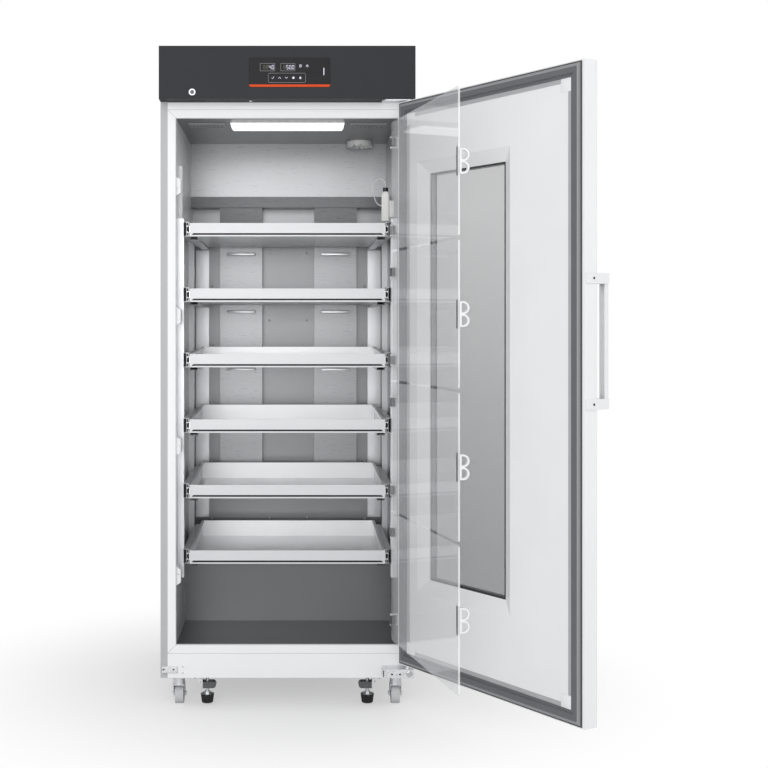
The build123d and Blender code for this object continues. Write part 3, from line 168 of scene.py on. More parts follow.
class Finish:
    """A material that is being put together: its nodes, its shader and the object's place."""

    def __init__(self, name, colour, roughness, **values):
        self.material = bpy.data.materials.new(name)
        self.material.use_nodes = True
        self.nodes = self.material.node_tree.nodes
        self.links = self.material.node_tree.links
        self.shader = self.nodes["Principled BSDF"]
        self.colour = colour
        fill(self.shader, Base_Color=(*colour, 1.0), Roughness=roughness, **values)
        self.place = self.node("ShaderNodeTexCoord").outputs["Object"]

    def node(self, kind, **settings):
        """Adds a node and sets what is named."""
        made = self.nodes.new(kind)
        for label, value in settings.items():
            setattr(made, label, value)
        return made

    def effect(self, name, **values):
        """Places one of the shared node groups on the object, and gives its outputs."""
        made = fill(self.node("ShaderNodeGroup", node_tree=bpy.data.node_groups[name]), **values)
        self.links.new(self.place, made.inputs["Vector"])
        return made.outputs

    def axes(self, place=None):
        """The X, Y and Z of a place, as outputs."""
        made = self.node("ShaderNodeSeparateXYZ")
        self.links.new(place or self.place, made.inputs["Vector"])
        return made.outputs

    def turned_back(self, centre, angle):
        """The place as it is when an open door is shut."""
        turn = Matrix.Rotation(-angle, 3, "Z")
        made = self.node("ShaderNodeMapping", vector_type="POINT")
        fill(made, Rotation=(0, 0, -angle), Location=centre - turn @ centre)
        self.links.new(self.place, made.inputs["Vector"])
        return made.outputs["Vector"]

    def maths(self, operation, first, second):
        """One sum of two values, each an output or a number."""
        made = self.node("ShaderNodeMath", operation=operation)
        for socket, value in zip(made.inputs, (first, second)):
            if isinstance(value, (int, float)):
                socket.default_value = value
            else:
                self.links.new(value, socket)
        return made.outputs["Value"]

    def most(self, *values):
        """The largest of several values."""
        largest = values[0]
        for value in values[1:]:
            largest = self.maths("MAXIMUM", largest, value)
        return largest

    def away(self, value, middle):
        """How far a value is from a middle."""
        return self.maths("ABSOLUTE", self.maths("SUBTRACT", value, middle), 0.0)

    def far_from(self, value, middle, limit):
        """A mask that is 1 where a value is further from a middle than a limit."""
        return self.maths("GREATER_THAN", self.away(value, middle), limit)

    def near_to(self, value, middle, limit):
        """A mask that is 1 where a value is nearer to a middle than a limit."""
        return self.maths("LESS_THAN", self.away(value, middle), limit)

    def ramp(self, value, start, end, low=0.0, high=1.0, **settings):
        """Maps a value between two limits to a range."""
        made = self.node("ShaderNodeMapRange", **settings)
        fill(made, From_Min=start, From_Max=end, To_Min=low, To_Max=high)
        self.links.new(value, made.inputs["Value"])
        return made.outputs["Result"]

    def send(self, value, target):
        """Sends a value or a colour to one of the shader's sockets."""
        self.links.new(value, self.shader.inputs[target])

    def spread(self, mask, low, high, target="Roughness"):
        """Maps a mask to a range and sends it to one of the shader's sockets."""
        self.send(self.ramp(mask, 0.0, 1.0, low, high), target)

    def mix(self, mask, first, second):
        """Mixes two colours, each an output or three numbers, by a mask."""
        made = self.node("ShaderNodeMix", data_type="RGBA")
        for number, value in ((MIX_FIRST, first), (MIX_SECOND, second)):
            if isinstance(value, tuple):
                made.inputs[number].default_value = (*value, 1.0)
            else:
                self.links.new(value, made.inputs[number])
        self.links.new(mask, made.inputs[0])
        return made.outputs[MIX_RESULT]

    def tint(self, mask, first, second):
        """Mixes two colours by a mask into the base colour."""
        colour = self.mix(mask, first, second)
        self.send(colour, "Base Color")
        return colour

    def vary(self, mask, low, high):
        """Lets a mask make the finish's own colour darker and lighter."""
        return self.tint(mask, shade(self.colour, low), shade(self.colour, high))

    def bump(self, height, strength, distance):
        """Lets a height press into the surface."""
        made = self.node("ShaderNodeBump")
        fill(made, Strength=strength, Distance=distance)
        self.links.new(height, made.inputs["Height"])
        self.send(made.outputs["Normal"], "Normal")

    def grain(self, scale, tone_scale, rough, strength, distance=0.0003):
        """Presses fine grain into the surface, and lets its slow tone change the roughness."""
        fine = self.effect("Fine grain", Scale=scale, Tone_scale=tone_scale)
        self.spread(fine["Tone"], *rough)
        self.bump(fine["Height"], strength, distance)
        return fine["Tone"]

    def brush(self, along, rough, depth=BRUSH_DEPTH):
        """Presses scratches along an axis into the surface, and gives its broad streaks."""
        sheet = self.effect("Brushed sheet", **{"Along_" + along: BRUSH_STRETCH})
        self.spread(sheet["Height"], *rough)
        self.bump(sheet["Height"], depth, 0.0002)
        return sheet["Streak"]

    def glow(self, colour, strength):
        """Lets the surface give light."""
        self.send(colour, "Emission Color")
        fill(self.shader, Emission_Strength=strength)


def new_group(name, inputs, outputs):
    """An empty node group with its sockets, its input node and its output node."""
    tree = bpy.data.node_groups.new(name, "ShaderNodeTree")
    tree.interface.new_socket(name="Vector", in_out="INPUT", socket_type="NodeSocketVector")
    for label, value in inputs.items():
        socket = tree.interface.new_socket(
            name=label, in_out="INPUT", socket_type="NodeSocketFloat"
        )
        socket.default_value = value
    for label in outputs:
        tree.interface.new_socket(name=label, in_out="OUTPUT", socket_type="NodeSocketFloat")
    return tree, tree.nodes.new("NodeGroupInput"), tree.nodes.new("NodeGroupOutput")


def noise(tree, place, scale, detail, distortion=0.0):
    """A noise in a group; its scale is a number or one of the group's inputs."""
    made = fill(tree.nodes.new("ShaderNodeTexNoise"), Detail=detail, Distortion=distortion)
    tree.links.new(place, made.inputs["Vector"])
    if isinstance(scale, float):
        made.inputs["Scale"].default_value = scale
    else:
        tree.links.new(scale, made.inputs["Scale"])
    return made.outputs["Fac"]


def product(tree, first, second, clamped=False):
    """Two values of a group multiplied."""
    made = tree.nodes.new("ShaderNodeMath")
    made.operation = "MULTIPLY"
    made.use_clamp = clamped
    tree.links.new(first, made.inputs[0])
    tree.links.new(second, made.inputs[1])
    return made.outputs["Value"]


def grain_group():
    """Fine even grain, as of powder coat or moulded plastic, and a slow change of tone."""
    inputs = {"Scale": 900.0, "Tone scale": 5.0}
    tree, given, result = new_group("Fine grain", inputs, ("Height", "Tone"))
    fine = noise(tree, given.outputs["Vector"], given.outputs["Scale"], 3.0)
    slow = noise(tree, given.outputs["Vector"], given.outputs["Tone scale"], 2.0)
    tree.links.new(fine, result.inputs["Height"])
    tree.links.new(slow, result.inputs["Tone"])


def brushed_group():
    """Long fine scratches along one axis, as of brushed sheet, with broader cloudy streaks."""
    inputs = {"Along X": 1.0, "Along Y": 1.0, "Along Z": 1.0, "Scale": 700.0}
    tree, given, result = new_group("Brushed sheet", inputs, ("Height", "Streak"))
    stretch = tree.nodes.new("ShaderNodeCombineXYZ")
    for axis in "XYZ":
        tree.links.new(given.outputs["Along " + axis], stretch.inputs[axis])
    drawn_out = tree.nodes.new("ShaderNodeVectorMath")
    drawn_out.operation = "MULTIPLY"
    tree.links.new(given.outputs["Vector"], drawn_out.inputs[0])
    tree.links.new(stretch.outputs["Vector"], drawn_out.inputs[1])
    place = drawn_out.outputs["Vector"]
    tree.links.new(noise(tree, place, given.outputs["Scale"], 2.0), result.inputs["Height"])
    tree.links.new(noise(tree, place, 22.0, 3.0), result.inputs["Streak"])


def marks_group():
    """Wiped smears and a little dust, as a mask."""
    tree, given, result = new_group("Wiped marks", {"Scale": 9.0, "Amount": 0.5}, ("Mask",))
    place = given.outputs["Vector"]
    cloud = noise(tree, place, 3.0, 2.0)
    smear = noise(tree, place, given.outputs["Scale"], 6.0, 1.2)
    mask = product(tree, product(tree, cloud, smear), given.outputs["Amount"], True)
    tree.links.new(mask, result.inputs["Mask"])


def painted(name, colour, roughness):
    """Powder-coated sheet: slight orange peel, and a tone that changes a little over it."""
    finish = Finish(name, colour, roughness, Specular_IOR_Level=0.4)
    peel = finish.effect("Fine grain", Scale=700.0, Tone_scale=3.0)
    finish.vary(peel["Tone"], 0.97, 1.02)
    marks = finish.effect("Wiped marks", Scale=7.0, Amount=1.0)
    finish.spread(marks["Mask"], roughness - 0.05, roughness + 0.12)
    finish.bump(peel["Height"], 0.08, 0.0004)
    return finish.material


def moulded(name, colour, roughness, grain=1500.0, depth=0.15, **values):
    """Moulded plastic with a fine texture."""
    finish = Finish(name, colour, roughness, **values)
    fine = finish.effect("Fine grain", Scale=grain, Tone_scale=6.0)
    finish.vary(fine["Tone"], 0.96, 1.03)
    marks = finish.effect("Wiped marks", Scale=11.0, Amount=1.0)
    finish.spread(marks["Mask"], roughness - 0.04, roughness + 0.1)
    finish.bump(fine["Height"], depth, 0.0003)
    return finish.material


def brushed(name, colour, roughness, along, metallic=1.0):
    """Brushed stainless sheet, its scratches along one axis."""
    finish = Finish(name, colour, roughness, Metallic=metallic)
    finish.vary(finish.brush(along, (roughness - 0.03, roughness + 0.04)), 0.97, 1.02)
    return finish.material


def lining_finish():
    """The brushed lining, with painted light on the left wall that fades to painted shade towards
    its foot, and painted shade on the ceiling, floor and riser.
    """
    finish = Finish("lining steel", tuple(colours().steel), 0.3, Metallic=0.5)
    rear = finish.vary(finish.brush("Z", (0.28, 0.34)), 0.97, 1.02)
    axes = finish.axes()
    left = finish.maths("LESS_THAN", axes["X"], SKIN - OPENING_HALF)
    # Painted light: the left wall is lighter high up and darker towards its foot, and less
    # metallic.
    height = finish.ramp(axes["Z"], 0.45, 0.85, interpolation_type="SMOOTHSTEP")
    wall = finish.mix(height, grey(180), grey(250, 1, 2))
    # Painted shade: the ceiling is darker.
    ceiling = finish.maths("GREATER_THAN", axes["Z"], OPENING_HIGH - SKIN)
    upper = finish.mix(ceiling, finish.mix(left, rear, wall), grey(112))
    # Painted shade: the floor, and the riser and walls below the step top, are darker.
    floor = finish.maths("LESS_THAN", axes["Z"], OPENING_LOW + 0.001)
    lower = finish.mix(floor, grey(120), grey(88))
    right = finish.maths("GREATER_THAN", axes["X"], SKIN - OPENING_HALF)
    below = finish.maths("MULTIPLY", right, finish.maths("LESS_THAN", axes["Z"], STEP_TOP))
    finish.send(finish.mix(below, upper, lower), "Base Color")
    finish.spread(left, 0.45, 0.1, "Metallic")
    return finish.material


def post_finish():
    """The steel of the slotted posts, and the strips in the rear corners, both lightened to
    near-white as painted light.
    """
    finish = Finish("post steel", grey(226), 0.32)
    sheet = finish.effect("Brushed sheet", Along_Z=BRUSH_STRETCH)
    # Painted light: the posts and the rear strips are coloured near-white to stand in for the light
    # on them.
    rear = finish.maths("GREATER_THAN", finish.axes()["Y"], 0.25)
    finish.tint(rear, grey(226), grey(206))
    finish.spread(rear, 0.35, 0.9, "Metallic")
    finish.spread(sheet["Streak"], 0.26, 0.4)
    finish.bump(sheet["Height"], BRUSH_DEPTH, 0.0002)
    return finish.material


def two_tone(name, axis, limit, below, above, grain, rough, depth, metal=False, **values):
    """A finish that changes colour, and may turn to metal, at one place along an axis."""
    finish = Finish(name, below, rough[0], **values)
    past = finish.maths("GREATER_THAN", finish.axes()[axis], limit)
    finish.tint(past, below, above)
    if metal:
        finish.send(past, "Metallic")
    finish.grain(*grain, rough, depth)
    return finish.material


def zinc(name="zinc plate", dark_inside=0.0):
    """Zinc-plated steel with its faint cloudy spangle, and dark plastic near the middle."""
    finish = Finish(name, grey(222), 0.36, Metallic=0.85)
    cells = fill(finish.node("ShaderNodeTexVoronoi"), Scale=160.0)
    finish.links.new(finish.place, cells.inputs["Vector"])
    spangle = finish.vary(cells.outputs["Distance"], 0.86, 1.12)
    finish.grain(600.0, 8.0, (0.28, 0.46), 0.1)
    if dark_inside:
        metal = finish.far_from(finish.axes()["X"], 0.0, dark_inside)
        finish.send(finish.mix(metal, grey(84), spangle), "Base Color")
        finish.send(metal, "Metallic")
    return finish.material


def polished():
    """Bright plated metal with a trace of haze."""
    finish = Finish("bright plate", grey(214, 0, 2), 0.12, Metallic=1.0)
    marks = finish.effect("Wiped marks", Scale=30.0, Amount=1.0)
    finish.vary(marks["Mask"], 1.0, 0.86)
    finish.spread(marks["Mask"], 0.08, 0.3)
    return finish.material


def rubber(name, colour, roughness=0.7):
    """Matt rubber with a dusty bloom."""
    finish = Finish(name, colour, roughness)
    tone = finish.grain(420.0, 14.0, (roughness - 0.1, roughness + 0.12), 0.2, 0.0004)
    finish.vary(tone, 0.86, 1.16)
    return finish.material


def gasket_finish():
    """The gasket's rubber, with a light stripe of painted highlight along its outer lip and a dark
    band of painted shade in the fold beside it.
    """
    finish = Finish("gasket rubber", tuple(colours().rubber), 0.6)
    plain = finish.vary(finish.grain(420.0, 14.0, (0.5, 0.7), 0.2, 0.0004), 0.88, 1.12)
    axes = finish.axes(finish.turned_back(HINGE, DOOR_TURN))
    half_width, half_height, middle = 0.384, 0.851, 0.989
    side = finish.maths("SUBTRACT", half_width, finish.away(axes["X"], 0.0))
    end = finish.maths("SUBTRACT", half_height, finish.away(axes["Z"], middle))
    inset = finish.maths("MINIMUM", side, end)
    # Painted highlight: a light stripe along the outer lip.
    fold = finish.mix(finish.maths("LESS_THAN", inset, 0.0205), plain, grey(146))
    # Painted shade: a dark band in the fold.
    lip = finish.maths("LESS_THAN", inset, 0.0125)
    finish.send(finish.mix(lip, fold, grey(64, 0, 3)), "Base Color")
    return finish.material


def window_glass():
    """Clear insulating glass with the black spacer round its edge, a little darker low down as
    painted shade.
    """
    finish = Finish("window glass", tuple(colours().glass), 0.04, IOR=1.5)
    marks = finish.effect("Wiped marks", Scale=5.0, Amount=0.8)
    finish.spread(marks["Mask"], 0.03, 0.14)
    axes = finish.axes(finish.turned_back(HINGE, DOOR_TURN))
    ends = finish.far_from(axes["Z"], 1.012, 0.593)
    hinge_side = finish.maths("GREATER_THAN", axes["X"], 0.250)
    free_side = finish.maths("LESS_THAN", axes["X"], -0.067)
    border = finish.most(hinge_side, free_side, ends)
    dark = finish.mix(border, tuple(colours().glass), grey(26, 0, 2))
    finish.send(finish.mix(hinge_side, dark, grey(176)), "Base Color")
    edge = fill(finish.node("ShaderNodeFresnel"), IOR=1.5)
    # Painted shade: the glass turns more opaque and darker low down.
    low = finish.ramp(axes["Z"], 1.5, 0.5, 0.06, 0.2)
    cover = finish.maths("ADD", low, finish.maths("MULTIPLY", edge.outputs["Fac"], 0.2))
    opaque = finish.maths("MINIMUM", finish.maths("ADD", cover, border), 1.0)
    finish.send(opaque, "Alpha")
    return finish.material


def clear_sheet():
    """Clear acrylic: little seen through its face, and a bright cut edge along its free side."""
    colour = screen_colour(240, 243, 245)
    finish = Finish("clear acrylic", colour, 0.03, IOR=1.49, Metallic=0.12)
    marks = finish.effect("Wiped marks", Scale=8.0, Amount=0.9)
    finish.spread(marks["Mask"], 0.015, 0.08)
    place = finish.turned_back(INNER_HINGE, INNER_TURN)
    cut = finish.maths("LESS_THAN", finish.axes(place)["X"], -0.3030)
    finish.tint(cut, colour, grey(250, 1, 2))
    edge = fill(finish.node("ShaderNodeLayerWeight"), Blend=0.3)
    slant = finish.maths("MULTIPLY", edge.outputs["Facing"], 0.5)
    opaque = finish.most(finish.maths("ADD", 0.015, slant), finish.maths("MULTIPLY", cut, 0.6))
    finish.send(opaque, "Alpha")
    return finish.material


def fittings_finish():
    """The inner door's white pull, and the grey steel of its strike plate and hinge clips."""
    white = tuple(colours().moulding)
    finish = Finish("inner door fittings", white, 0.4)
    axes = finish.axes(finish.turned_back(INNER_HINGE, INNER_TURN))
    clip = finish.maths("GREATER_THAN", axes["X"], 0.2)
    plate = finish.maths("GREATER_THAN", axes["Y"], -0.34355)
    metal = finish.most(clip, plate)
    finish.tint(metal, white, grey(158))
    finish.spread(metal, 0.0, 0.8, "Metallic")
    finish.grain(1500.0, 6.0, (0.32, 0.46), 0.15)
    return finish.material


def lamp_lens():
    """The lamp's ribbed lens, which glows below its base."""
    finish = Finish("lamp lens", screen_colour(246, 247, 250), 0.35)
    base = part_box("ceiling_lamp")[1].z - 0.0031
    below = finish.maths("LESS_THAN", finish.axes()["Z"], base)
    ribs = finish.node("ShaderNodeTexWave", wave_type="BANDS", bands_direction="X")
    finish.links.new(finish.place, fill(ribs, Scale=12.0).inputs["Vector"])
    finish.bump(ribs.outputs["Fac"], 0.3, 0.0006)
    bars = finish.mix(ribs.outputs["Fac"], (0.62, 0.61, 0.60), (1.0, 0.985, 0.96))
    finish.glow(finish.mix(below, (0.0, 0.0, 0.0), bars), 1.5)
    return finish.material


def lit(name, colour, strength):
    """A lit mark of the display, behind its gloss face."""
    finish = Finish(name, shade(colour, 0.5), 0.3)
    fine = finish.effect("Fine grain", Scale=2600.0, Tone_scale=60.0)
    finish.glow(finish.mix(fine["Tone"], shade(colour, 0.9), colour), strength)
    return finish.material


def drawer_finish():
    """Brushed drawer steel; the levers beside the slides and the runners' ends are black."""
    finish = Finish("drawer steel", tuple(colours().tray), 0.3)
    streaks = finish.vary(finish.brush("X", (0.26, 0.4), 0.04), 0.98, 1.01)
    axes = finish.axes()
    height = finish.maths("SUBTRACT", axes["Z"], LOWEST_DRAWER)
    rise = finish.maths("FLOORED_MODULO", height, DRAWER_PITCH)
    beside = finish.far_from(axes["X"], 0.0, 0.30055)
    lever = finish.maths("MULTIPLY", beside, finish.near_to(rise, 0.04, 0.0045))
    below = finish.maths("GREATER_THAN", rise, 0.1915)
    end = finish.maths("MULTIPLY", below, finish.maths("LESS_THAN", axes["Y"], -0.3045))
    black = finish.most(lever, end)
    # Painted shadow: the groove below the face is nearly black.
    behind = finish.near_to(axes["Y"], -0.3187, 0.0059)
    groove = finish.maths("MULTIPLY", behind, finish.near_to(rise, 0.0072, 0.0031))
    # Painted light and shade: the front face is darker and less metallic, and the insides lighter.
    face = finish.maths("LESS_THAN", axes["Y"], -0.3240)
    plain = finish.mix(face, streaks, grey(206))
    shadowed = finish.mix(groove, plain, grey(34, 0, 2))
    finish.send(finish.mix(black, shadowed, grey(24, 0, 2)), "Base Color")
    finish.spread(finish.most(black, face), 0.55, 0.1, "Metallic")
    return finish.material


def dress(material, *names):
    """Gives CAD nodes their finish."""
    for name in names:
        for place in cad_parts[name].material_slots:
            place.material = material


def kept(name):
    """A finish that another operator has made."""
    return bpy.data.materials[name]


FACING = {
    "-X": Matrix.Rotation(math.radians(-90), 4, "Y"),
    "-Y": Matrix.Rotation(math.radians(90), 4, "X"),
    "-Z": Matrix.Rotation(math.radians(180), 4, "X"),
    "+Z": Matrix.Identity(4),
}


def merge(target, part, place):
    """Moves a finished shape to its place and adds it to a piece."""
    bmesh.ops.transform(part, matrix=place, verts=part.verts)
    carrier = bpy.data.meshes.new("carrier")
    part.to_mesh(carrier)
    part.free()
    target.from_mesh(carrier)
    bpy.data.meshes.remove(carrier)


def put(target, part, place=(0, 0, 0), facing="+Z"):
    """Adds a shape that was made round the origin to a piece."""
    merge(target, part, Matrix.Translation(place) @ FACING[facing])


def round_over(part, geometry, offset, segments=2, affect="EDGES", clamp=False):
    """Bevels some edges or corners of a shape."""
    bmesh.ops.bevel(
        part,
        geom=geometry,
        offset=offset,
        offset_type="OFFSET",
        affect=affect,
        segments=segments,
        profile=0.5,
        material=-1,
        clamp_overlap=clamp,
    )


def thicken(part, depth):
    """Gives an upright flat shape a depth along Y."""
    grown = bmesh.ops.extrude_face_region(part, geom=part.faces[:])
    moved = [item for item in grown["geom"] if isinstance(item, bmesh.types.BMVert)]
    bmesh.ops.translate(part, vec=(0, depth, 0), verts=moved)
    bmesh.ops.recalc_face_normals(part, faces=part.faces)


def block(low, high, soft=0.0, segments=2):
    """A block between two corners, its edges rounded."""
    low, high = Vector(low), Vector(high)
    part = bmesh.new()
    bmesh.ops.create_cube(part, size=1.0)
    bmesh.ops.scale(part, vec=high - low, verts=part.verts)
    bmesh.ops.translate(part, vec=(low + high) / 2, verts=part.verts)
    if soft:
        round_over(part, part.edges[:], soft, segments, clamp=True)
    return part


def rounded_face(width, height, radius, corner_segments=5):
    """A flat upright shape, centred on the origin, with rounded corners."""
    part = bmesh.new()
    bmesh.ops.create_grid(part, x_segments=1, y_segments=1, size=0.5)
    bmesh.ops.scale(part, vec=(width, height, 1), verts=part.verts)
    round_over(part, part.verts[:], radius, corner_segments, "VERTICES", True)
    bmesh.ops.transform(part, matrix=FACING["-Y"], verts=part.verts)
    return part


def rounded_plate(width, height, radius, thickness, soft=0.0, corner_segments=5):
    """A plate with rounded corners; its front faces -Y at y = 0."""
    part = rounded_face(width, height, radius, corner_segments)
    thicken(part, thickness)
    if soft:
        front = [edge for edge in part.edges if all(abs(vert.co.y) < 1e-7 for vert in edge.verts)]
        round_over(part, front, soft)
    return part


def rounded_outline(width, height, radius, line, thickness):
    """A rounded rectangular line, raised by its thickness towards -Y."""
    part = rounded_face(width, height, radius)
    middle = part.faces[:]
    bmesh.ops.inset_individual(part, faces=middle, thickness=line)
    bmesh.ops.delete(part, geom=middle, context="FACES_ONLY")
    thicken(part, -thickness)
    return part


def rod(radius, length, segments=24):
    """An upright round bar, centred on the origin."""
    part = bmesh.new()
    bmesh.ops.create_cone(
        part, cap_ends=True, segments=segments, radius1=radius, radius2=radius, depth=length
    )
    return part


def turned(points, segments=32):
    """A closed turned shape about Z from its (radius, height) points."""
    part = bmesh.new()
    made = [part.verts.new((radius, 0, height)) for radius, height in points]
    edges = [part.edges.new(pair) for pair in zip(made, made[1:])]
    bmesh.ops.spin(
        part,
        geom=made + edges,
        axis=(0, 0, 1),
        cent=(0, 0, 0),
        angle=math.tau,
        steps=segments,
        use_merge=True,
    )
    bmesh.ops.remove_doubles(part, verts=part.verts, dist=1e-6)
    bmesh.ops.recalc_face_normals(part, faces=part.faces)
    return part


def top_of(part):
    """The highest face of a shape."""
    return max(part.faces, key=lambda face: face.calc_center_median().z)


def screw(radius):
    """A pan head screw that points along +Z, with a sunk round in its head."""
    part = rod(radius, radius * 0.7, 20)
    round_over(part, top_of(part).edges[:], radius * 0.35, 3)
    top = top_of(part)
    bmesh.ops.inset_individual(part, faces=[top], thickness=radius * 0.3)
    bmesh.ops.translate(part, vec=(0, 0, -radius * 0.4), verts=top.verts)
    return part


def bolt(radius, height):
    """A six-sided bolt head on its washer, pointing along +Z."""
    part = rod(radius * 1.35, height * 0.25, 24)
    bmesh.ops.translate(part, vec=(0, 0, height * 0.125), verts=part.verts)
    put(part, rod(radius, height * 0.75, 6), (0, 0, height * 0.625))
    return part


def drive(target, place, facing, radius):
    """Adds one screw, its head proud of a surface."""
    lift = Matrix.Translation((0, 0, radius * 0.35))
    merge(target, screw(radius), Matrix.Translation(place) @ FACING[facing] @ lift)


def stroke(target, start, end, width, y, thickness=MARK):
    """Adds a short rounded line between two (x, z) points."""
    start, end = Vector(start), Vector(end)
    run = end - start
    part = rounded_plate(run.length + width, width, width * 0.45, thickness, 0.0, 3)
    bmesh.ops.translate(part, vec=(0, -thickness, 0), verts=part.verts)
    middle = (start + end) / 2
    turn = Matrix.Rotation(-math.atan2(run.y, run.x), 4, "Y")
    merge(target, part, Matrix.Translation((middle.x, y, middle.y)) @ turn)


def finished(name, part, material, body):
    """Turns a shape into an object that rides on a body."""
    bmesh.ops.recalc_face_normals(part, faces=part.faces)
    for face in part.faces:
        face.smooth = True
    for edge in part.edges:
        if len(edge.link_faces) == 2:
            edge.smooth = edge.calc_face_angle() < SOFT_EDGE
    mesh = bpy.data.meshes.new(name)
    part.to_mesh(mesh)
    part.free()
    mesh.materials.append(material)
    made = bpy.data.objects.new(name, mesh)
    bpy.context.scene.collection.objects.link(made)
    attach(made, body)


def swung(part):
    """Turns a shape of the shut outer door to where the door stands open."""
    turn = Matrix.Rotation(DOOR_TURN, 3, "Z")
    bmesh.ops.rotate(part, cent=HINGE, matrix=turn, verts=part.verts)
    return part


class REFRIGERATOR_OT_effects(Operator):
    """Builds the node groups that the finishes share"""

    bl_idname = "refrigerator.effects"
    bl_label = "Shared effects"

    def execute(self, context):
        grain_group()
        brushed_group()
        marks_group()
        return {"FINISHED"}


class REFRIGERATOR_OT_stage(Operator):
    """Sets the camera, the floor, the white surroundings and the soft lamps"""

    bl_idname = "refrigerator.stage"
    bl_label = "Stage"

    def execute(self, context):
        view = bpy.data.cameras.new("camera")
        view.sensor_width = 36.0
        view.lens = 60.23
        view.shift_x = 0.1159
        view.shift_y = -0.0736
        camera = bpy.data.objects.new("camera", view)
        camera.location = (0.0235, -4.273, 1.157)
        camera.rotation_euler = (math.radians(90), 0, 0)
        context.scene.collection.objects.link(camera)
        context.scene.camera = camera
        context.scene.view_settings.view_transform = "Standard"
        self.floor(context)
        self.surroundings(context)
        self.lamp(context, "front lamp", (-0.9, -5.0, 1.8), (0.0, -0.3, 1.0), 3.0, 86.0)
        self.lamp(context, "side lamp", (3.6, -3.4, 2.6), (0.2, -0.4, 1.0), 2.6, 20.0)
        return {"FINISHED"}

    def floor(self, context):
        """A pale floor that keeps the shadow and fades to white away from the object."""
        part = bmesh.new()
        bmesh.ops.create_grid(part, x_segments=1, y_segments=1, size=30.0)
        mesh = bpy.data.meshes.new("floor")
        part.to_mesh(mesh)
        part.free()
        floor = bpy.data.objects.new("floor", mesh)
        context.scene.collection.objects.link(floor)
        finish = Finish("floor", (0.86, 0.86, 0.86), 0.9, Specular_IOR_Level=0.0)
        distance = finish.node("ShaderNodeVectorMath", operation="LENGTH")
        finish.links.new(finish.place, distance.inputs[0])
        far = finish.ramp(
            distance.outputs["Value"], 0.35, 1.3, 0.45, interpolation_type="SMOOTHSTEP"
        )
        path = finish.node("ShaderNodeLightPath").outputs
        seen = finish.most(path["Is Camera Ray"], path["Is Transmission Ray"])
        white = finish.node("ShaderNodeEmission")
        mix = finish.node("ShaderNodeMixShader")
        finish.links.new(finish.maths("MULTIPLY", far, seen), mix.inputs[0])
        finish.links.new(finish.shader.outputs[0], mix.inputs[1])
        finish.links.new(white.outputs[0], mix.inputs[2])
        finish.links.new(mix.outputs[0], finish.nodes["Material Output"].inputs["Surface"])
        mesh.materials.append(finish.material)

    def surroundings(self, context):
        """White where it is seen, and softer as light."""
        world = bpy.data.worlds.new("surroundings")
        world.use_nodes = True
        context.scene.world = world
        nodes, links = world.node_tree.nodes, world.node_tree.links
        path = nodes.new("ShaderNodeLightPath").outputs
        seen = path["Is Camera Ray"]
        for ray in ("Is Glossy Ray", "Is Transmission Ray"):
            either = nodes.new("ShaderNodeMath")
            either.operation = "MAXIMUM"
            links.new(seen, either.inputs[0])
            links.new(path[ray], either.inputs[1])
            seen = either.outputs["Value"]
        strength = fill(nodes.new("ShaderNodeMapRange"), To_Min=0.68)
        links.new(seen, strength.inputs["Value"])
        background = fill(nodes["Background"], Color=(1.0, 1.0, 1.0, 1.0))
        links.new(strength.outputs["Result"], background.inputs["Strength"])

    def lamp(self, context, name, place, target, size, power):
        """A large soft lamp that looks at the object."""
        light = bpy.data.lights.new(name, "AREA")
        light.size = size
        light.energy = power
        lamp = bpy.data.objects.new(name, light)
        lamp.location = place
        direction = Vector(target) - Vector(place)
        lamp.rotation_euler = direction.to_track_quat("-Z", "Y").to_euler()
        context.scene.collection.objects.link(lamp)


class REFRIGERATOR_OT_lead(Operator):
    """Runs the sensor's thin lead from the bottle's cap back to its side"""

    bl_idname = "refrigerator.lead"
    bl_label = "Sensor lead"

    def execute(self, context):
        route = [
            (0.3130, -0.1700, 1.6030),
            (0.3130, -0.1700, 1.6170),
            (0.3040, -0.1720, 1.6310),
            (0.2880, -0.1740, 1.6325),
            (0.2750, -0.1760, 1.6195),
            (0.2710, -0.1760, 1.6000),
            (0.2740, -0.1750, 1.5810),
            (0.2790, -0.1730, 1.5640),
            (0.2870, -0.1710, 1.5500),
            (0.3005, -0.1700, 1.5445),
        ]
        diameter = sizes().lead_diameter
        curve = bpy.data.curves.new("sensor_lead_wire", "CURVE")
        curve.dimensions = "3D"
        curve.bevel_depth = diameter / 2
        curve.bevel_resolution = 4
        curve.use_fill_caps = True
        line = curve.splines.new("NURBS")
        line.points.add(len(route) - 1)
        for point, place in zip(line.points, route):
            point.co = (*place, 1.0)
        line.order_u = 3
        line.use_endpoint_u = True
        line.resolution_u = 12
        lead = bpy.data.objects.new("sensor_lead_wire", curve)
        context.scene.collection.objects.link(lead)
        curve.materials.append(moulded("lead sheath", grey(226, 0, 2), 0.42, 1800.0, 0.1))
        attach(lead, "cabinet")
        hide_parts("sensor_lead")
        return {"FINISHED"}


